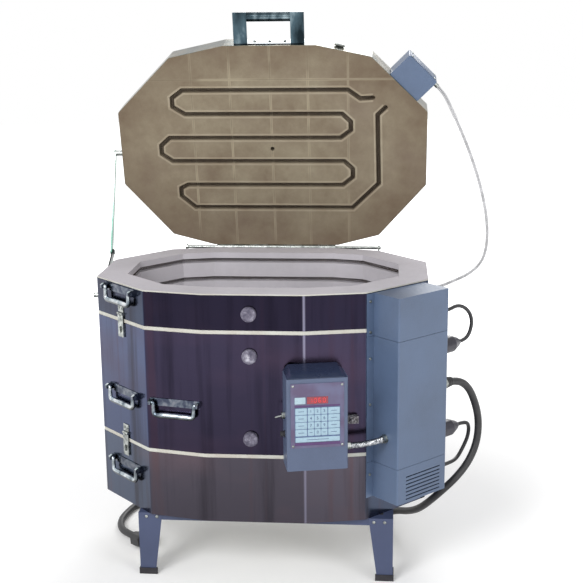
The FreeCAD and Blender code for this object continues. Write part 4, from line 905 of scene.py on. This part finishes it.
conduit_steel = mottled("conduit_steel", shade(190, 192, 196), 0.22, 1.0,
                        ((0.36, shade(110, 112, 118)), (0.58, shade(214, 216, 218))), Scale=210, Detail=5)
rib_radius, rib_wire, rib_pitch, core_thick = 0.0066, 0.0014, 0.0029, 0.0128
ribs = coil_along("conduit_ribs", route_points(conduit_route), False, rib_radius, rib_wire, rib_pitch, 20, 6)
fix(ribs, Matrix.Identity(4), "kiln", conduit_steel)
core = cord_curve("conduit_core", conduit_route, core_thick, conduit_steel)
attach(core, "kiln")
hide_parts("conduit")
dress(bright_zinc, "cord_fittings")
block_ceramic = mottled("block_ceramic", shade(120, 116, 116), 0.6, 0,
                        ((0.34, shade(58, 54, 60)), (0.52, shade(108, 104, 108)), (0.66, shade(196, 194, 196))),
                        bumps=(0.0004, 0.4), Scale=210, Detail=5)
dress(block_ceramic, "thermocouple_block")

# Section leads. Each kiln section is fed by a short rubber lead that leaves the control box
# through a bush, bows outwards and ends in a round black plug in its socket.
plug_black = rubber("plug_black", shade(34, 32, 44), 0.3)
dress(plug_black, "sockets", "section_plugs")
section_width = 0.010
high_route = [
    (0.4709, -0.1571, 0.706), (0.4893, -0.1387, 0.706), (0.5126, -0.1168, 0.714), (0.536, -0.0949, 0.702),
    (0.5522, -0.0786, 0.676), (0.5537, -0.0758, 0.644), (0.5402, -0.0878, 0.614), (0.5197, -0.1083, 0.614),
]
low_route = [
    (0.5197, -0.1083, 0.385), (0.5402, -0.0878, 0.385), (0.5544, -0.0638, 0.37), (0.5537, -0.0532, 0.333),
    (0.5388, -0.0638, 0.301), (0.5218, -0.0892, 0.28), (0.5006, -0.1274, 0.283), (0.4709, -0.1571, 0.283),
]
for name, route, length in (("high", high_route, 0.218), ("low", low_route, 0.253)):
    lead = cord_curve(f"section_lead_{name}", route, section_width, cord_black)
    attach(lead, "kiln")
    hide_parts(f"section_cord_{name}")
grip_place = Matrix.Translation(supply_route[0]) @ facing((0, 0, 1), (1, -1, 0))
sleeve = begin("cone", "cord_sleeve", vertices=28, radius1=0.0142, radius2=0.0108, depth=0.026,
               end_fill_type="NGON", location=(0, 0, 0.011))
ring_step, ring_high = 0.004, 0.0012
bpy.ops.object.mode_set(mode="EDIT")
for ring_level in (0.002, 0.006, 0.010, 0.014, 0.018):
    bpy.ops.mesh.select_all(action="SELECT")
    bpy.ops.mesh.bisect(plane_co=(0, 0, ring_level), plane_no=(0, 0, 1))
pick(sleeve, lambda face: abs(face.normal.z) < 0.5 and round(face.center.z / ring_step) % 2 == 0)
bpy.ops.mesh.extrude_region_shrink_fatten(TRANSFORM_OT_shrink_fatten={"value": ring_high})
ease(sleeve, 0.0004, 1, 40)
fix(sleeve, grip_place, "kiln", cord_black)

# Hinge. A leaf screwed to the back of the top jacket, three straps on the lid and one steel
# rod through all the knuckles, held out at both ends by small brackets.
dress(bright_zinc, "hinge_plates", "hinge_rod", "lid_hinge_straps")
hinge_line = Matrix.Translation((0, 0.306, 0.780))
lid_angle = math.radians(77.3)
lid_open = hinge_line @ Matrix.Rotation(-lid_angle, 4, "X") @ hinge_line.inverted()
hinge_middle, knuckle_step, leaf_face = 0.184, 0.0505, 0.0022
leaf_places = []
for knuckle in (-1, 1, -3, 3):
    for level in (0.727, 0.752):
        leaf_place = on_side(back_right, back_left, hinge_middle + knuckle * knuckle_step, level)
        leaf_places += [leaf_place @ at(offset, 0, leaf_face) for offset in (-0.012, 0.012)]
screw_heads("leaf_screw", leaf_places, 0.0036)
strap_places = []
for knuckle in (-2, 0, 2):
    strap_place = lid_open @ on_side(back_right, back_left, hinge_middle + knuckle * knuckle_step, 0.815)
    strap_places += [strap_place @ at(offset, 0, leaf_face) for offset in (-0.014, 0.014)]
screw_heads("strap_screw", strap_places, 0.0036, "lid")

# Lid. Firebrick blocks cemented edge to edge inside a steel band, warm grey with heat stains,
# with a serpentine groove for the element and a small vent in the middle.
lid_low = 0.7803


def lid_value(tree, word):
    """A number of the place on the lid as if it were shut: X to the right, Y to the back."""
    lay_shut = tree.nodes.new("ShaderNodeMapping")
    lay_shut.inputs["Rotation"].default_value = (lid_angle, 0, 0)
    lay_shut.inputs["Location"].default_value = lid_open.inverted().translation
    tree.links.new(own_place(tree), lay_shut.inputs["Vector"])
    return part_of(tree, lay_shut.outputs["Vector"], word)


def lid_joints(tree):
    """The cement lines of the lid: five from front to back and one across, near the front."""
    across = lid_value(tree, "X")
    back = lid_value(tree, "Y")
    return [(across, place) for place in (-0.223, -0.114, 0.0, 0.105, 0.217)] + [(back, -0.202)]


lid_clay = firebrick("lid_clay", shade(146, 136, 115), shade(118, 104, 86), joints=lid_joints)
tree = lid_clay.node_tree
shader = tree.nodes["Principled BSDF"]
plain_clay = shader.inputs["Base Color"].links[0].from_socket
reach = tree.nodes.new("ShaderNodeCombineXYZ")
for word, half_size in (("X", 0.437), ("Y", 0.297)):
    tree.links.new(reckon(tree, "MULTIPLY", lid_value(tree, word), 1 / half_size), reach.inputs[word])
off_middle = reckon_vector(tree, "LENGTH", reach.outputs[0])
soot = pattern(tree, "Noise", Scale=6, Detail=5, Roughness=0.6)
edge_stain = between(tree, off_middle, 0, 1, 0.72, 1.12)
stained = over(tree, plain_clay, shade(86, 66, 50), edge_stain, share=0.5)
sooted = between(tree, soot.outputs["Fac"], 0, 1, 0.5, 0.75)
stained = over(tree, stained, shade(112, 96, 84), sooted, share=0.5)
tree.links.new(stained, shader.inputs["Base Color"])
dress(lid_clay, "lid_bricks")
lid_route = [
    (0.321, -0.121), (0.299, -0.100), (0.303, 0.104), (0.228, 0.179), (-0.232, 0.179), (-0.272, 0.144),
    (-0.272, 0.120), (-0.250, 0.109), (0.200, 0.109), (0.229, 0.085), (0.229, 0.060), (0.205, 0.037),
    (-0.290, 0.037), (-0.321, 0.015), (-0.321, -0.010), (-0.295, -0.033), (0.195, -0.033), (0.224, -0.055),
    (0.224, -0.080), (0.200, -0.103), (-0.245, -0.103), (-0.280, -0.125), (-0.280, -0.150), (-0.250, -0.172),
    (0.216, -0.172), (0.251, -0.147), (0.286, -0.149),
]
coil_lift = 0.0094
lid_ring = [(x, y, lid_low + coil_lift) for x, y in lid_route]
lid_coil = coil_along("lid_coil", lid_ring, False, coil_radius, coil_wire, coil_pitch)
fix(lid_coil, lid_open, "lid", oxide)
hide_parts("lid_element")
lip_clay = firebrick("lip_clay", shade(164, 154, 134), shade(140, 126, 106))

lip_from, lip_to, lip_thick = 0.0068, 0.0122, 0.0004
for name, side in (("near", -1), ("far", 1)):
    ribbon = bpy.data.meshes.new(f"groove_lip_{name}")
    edges = zip(beside(lid_route, side * lip_from), beside(lid_route, side * lip_to))
    rows = [(point.x, point.y, 0) for pair in edges for point in pair]
    quads = [(i, i + 1, i + 3, i + 2) for i in range(0, len(rows) - 2, 2)]
    ribbon.from_pydata(rows, [], quads)
    lip = bpy.data.objects.new(f"groove_lip_{name}", ribbon)
    scene.collection.objects.link(lip)
    alone(lip)
    face_outwards()
    reshape(lip, "SOLIDIFY", thickness=lip_thick, offset=0)
    fix(lip, lid_open @ at(0, 0, lid_low), "lid", lip_clay)

# Lid band and its fittings. A steel band drawn round the bricks with a worm clamp, brown and
# green with heat; on its front a lifting handle, and a terminal box with a gland at the right.
band_steel = mottled("band_steel", shade(96, 92, 84), 0.16, 1.0,
                     ((0.32, shade(40, 44, 40)), (0.46, shade(86, 92, 86)), (0.56, shade(108, 102, 88)),
                      (0.72, shade(160, 164, 156))),
                     gloss=(0.1, 0.32), stretch=(16, 16, 5), Scale=1.0, Detail=6, Roughness=0.65)
dress(band_steel, "lid_band")
handle_steel = mottled("handle_steel", shade(44, 58, 64), 0.14, 1.0,
                       ((0.36, shade(22, 30, 34)), (0.54, shade(58, 74, 82)), (0.68, shade(132, 148, 154))),
                       gloss=(0.1, 0.3), stretch=(20, 8, 8), Scale=1.0, Detail=4)
dress(handle_steel, "lid_handle")
band_middle = lid_low + 0.0365
lid_front = lid_open @ on_side((-0.128, -0.298), front_right, 0.128, band_middle)
screw_heads("handle_screw", [lid_front @ at(x, 0, 0.0025) for x in (-0.042, 0, 0.042)], 0.004, "lid")
terminal_frame = lid_open @ on_side(shoulder_right, end_right, 0, lid_low)
dress(box_paint, "lid_terminal_box")
dress(bright_zinc, "lid_gland", "lid_prop_stud")
terminal_face, cover_thick = 0.075, 0.0012
flat_plate("terminal_cover", terminal_frame @ at(0, 0, terminal_face), (0.0775, 0.0105), (0.1765, 0.0625),
           cover_thick, 0.003, "lid", box_paint)
cover_corners = [terminal_frame @ at(x, y, terminal_face + cover_thick)
                 for x in (0.084, 0.170) for y in (0.017, 0.056)]
screw_heads("cover_screw", cover_corners, 0.003, "lid")
clamp_frame = lid_open @ on_side(front_right, shoulder_right, 0.066, band_middle)
clamp = block("band_clamp", (0.024, 0.013, 0.009), (0, 0, 0.0046))
pick(clamp, lambda face: abs(face.normal.x) > 0.9)
bpy.ops.mesh.inset(thickness=0.0025)
bpy.ops.mesh.extrude_region_shrink_fatten(TRANSFORM_OT_shrink_fatten={"value": 0.004})
ease(clamp, 0.0012, 2)
fix(clamp, clamp_frame, "lid", bright_zinc)

# Lid cable. Two pale insulated wires side by side from the terminal box's gland, in a long
# slack bow to the bush on the control box, so that it can follow the lid down.
cable_route = [
    (0.4643, 0.2373, 1.2521), (0.4827, 0.2414, 1.2342), (0.506, 0.208, 1.186), (0.532, 0.202, 1.13),
    (0.556, 0.196, 1.072), (0.578, 0.19, 1.01), (0.596, 0.178, 0.944), (0.606, 0.152, 0.878),
    (0.602, 0.104, 0.824), (0.584, 0.046, 0.792), (0.548, -0.014, 0.774), (0.5006, -0.0708, 0.766),
    (0.4681, -0.1034, 0.76), (0.4426, -0.1288, 0.76),
]
cable_width = 0.009
cable_grey = rubber("cable_insulation", shade(176, 176, 178), 0.5)
cable_line = route_points(cable_route)
wires = []
for side in (-1, 1):
    offset_line = []
    for number, point in enumerate(cable_line):
        ahead = cable_line[min(number + 1, len(cable_line) - 1)] - cable_line[max(number - 1, 0)]
        sideways = ahead.cross(Vector((0, 1, 0))).normalized()
        offset_line.append(point + sideways * side * cable_width / 4)
    wire = cord_curve(f"wire_{side}", offset_line, cable_width / 2, cable_grey)
    wire.data.splines[0].type = "POLY"
    alone(wire)
    bpy.ops.object.convert(target="MESH")
    wires.append(bpy.context.object)
cable = joined(wires, "lid_twin_cable")
bpy.ops.object.shade_smooth()
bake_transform(cable)
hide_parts("lid_cable")

# Lid prop. Two flat arms at the left end that fold at a riveted elbow and hold the lid open:
# the upper one zinc with a green tarnish, the lower one dark. A knob bracket carries them.
tarnish, tree, shader = new_finish("tarnished_zinc", shade(120, 134, 128), 0.28, 1.0)
patina = pattern(tree, "Noise", stretch=(30, 30, 10), Scale=1.0, Detail=6, Roughness=0.65)
base = band(tree, patina.outputs["Fac"], ((0.36, shade(84, 112, 102)), (0.5, shade(140, 158, 150)),
                                          (0.66, shade(176, 186, 182))))
dull = between(tree, part_of(tree, own_place(tree), "Z"), 1, 0, 0.84, 1.0)
tree.links.new(over(tree, base, shade(26, 66, 56), dull, share=0.85), shader.inputs["Base Color"])
polish(tree, shader, patina, 0.16, 0.4)
dress(tarnish, "prop_upper_arm")
dark_arm = mottled("dark_arm", shade(30, 38, 36), 0.3, 1.0,
                   ((0.4, shade(16, 22, 22)), (0.7, shade(66, 78, 74))),
                   stretch=(60, 60, 16), Scale=1.0, Detail=5)
dress(dark_arm, "prop_lower_arm")
dress(bright_zinc, "prop_brackets")
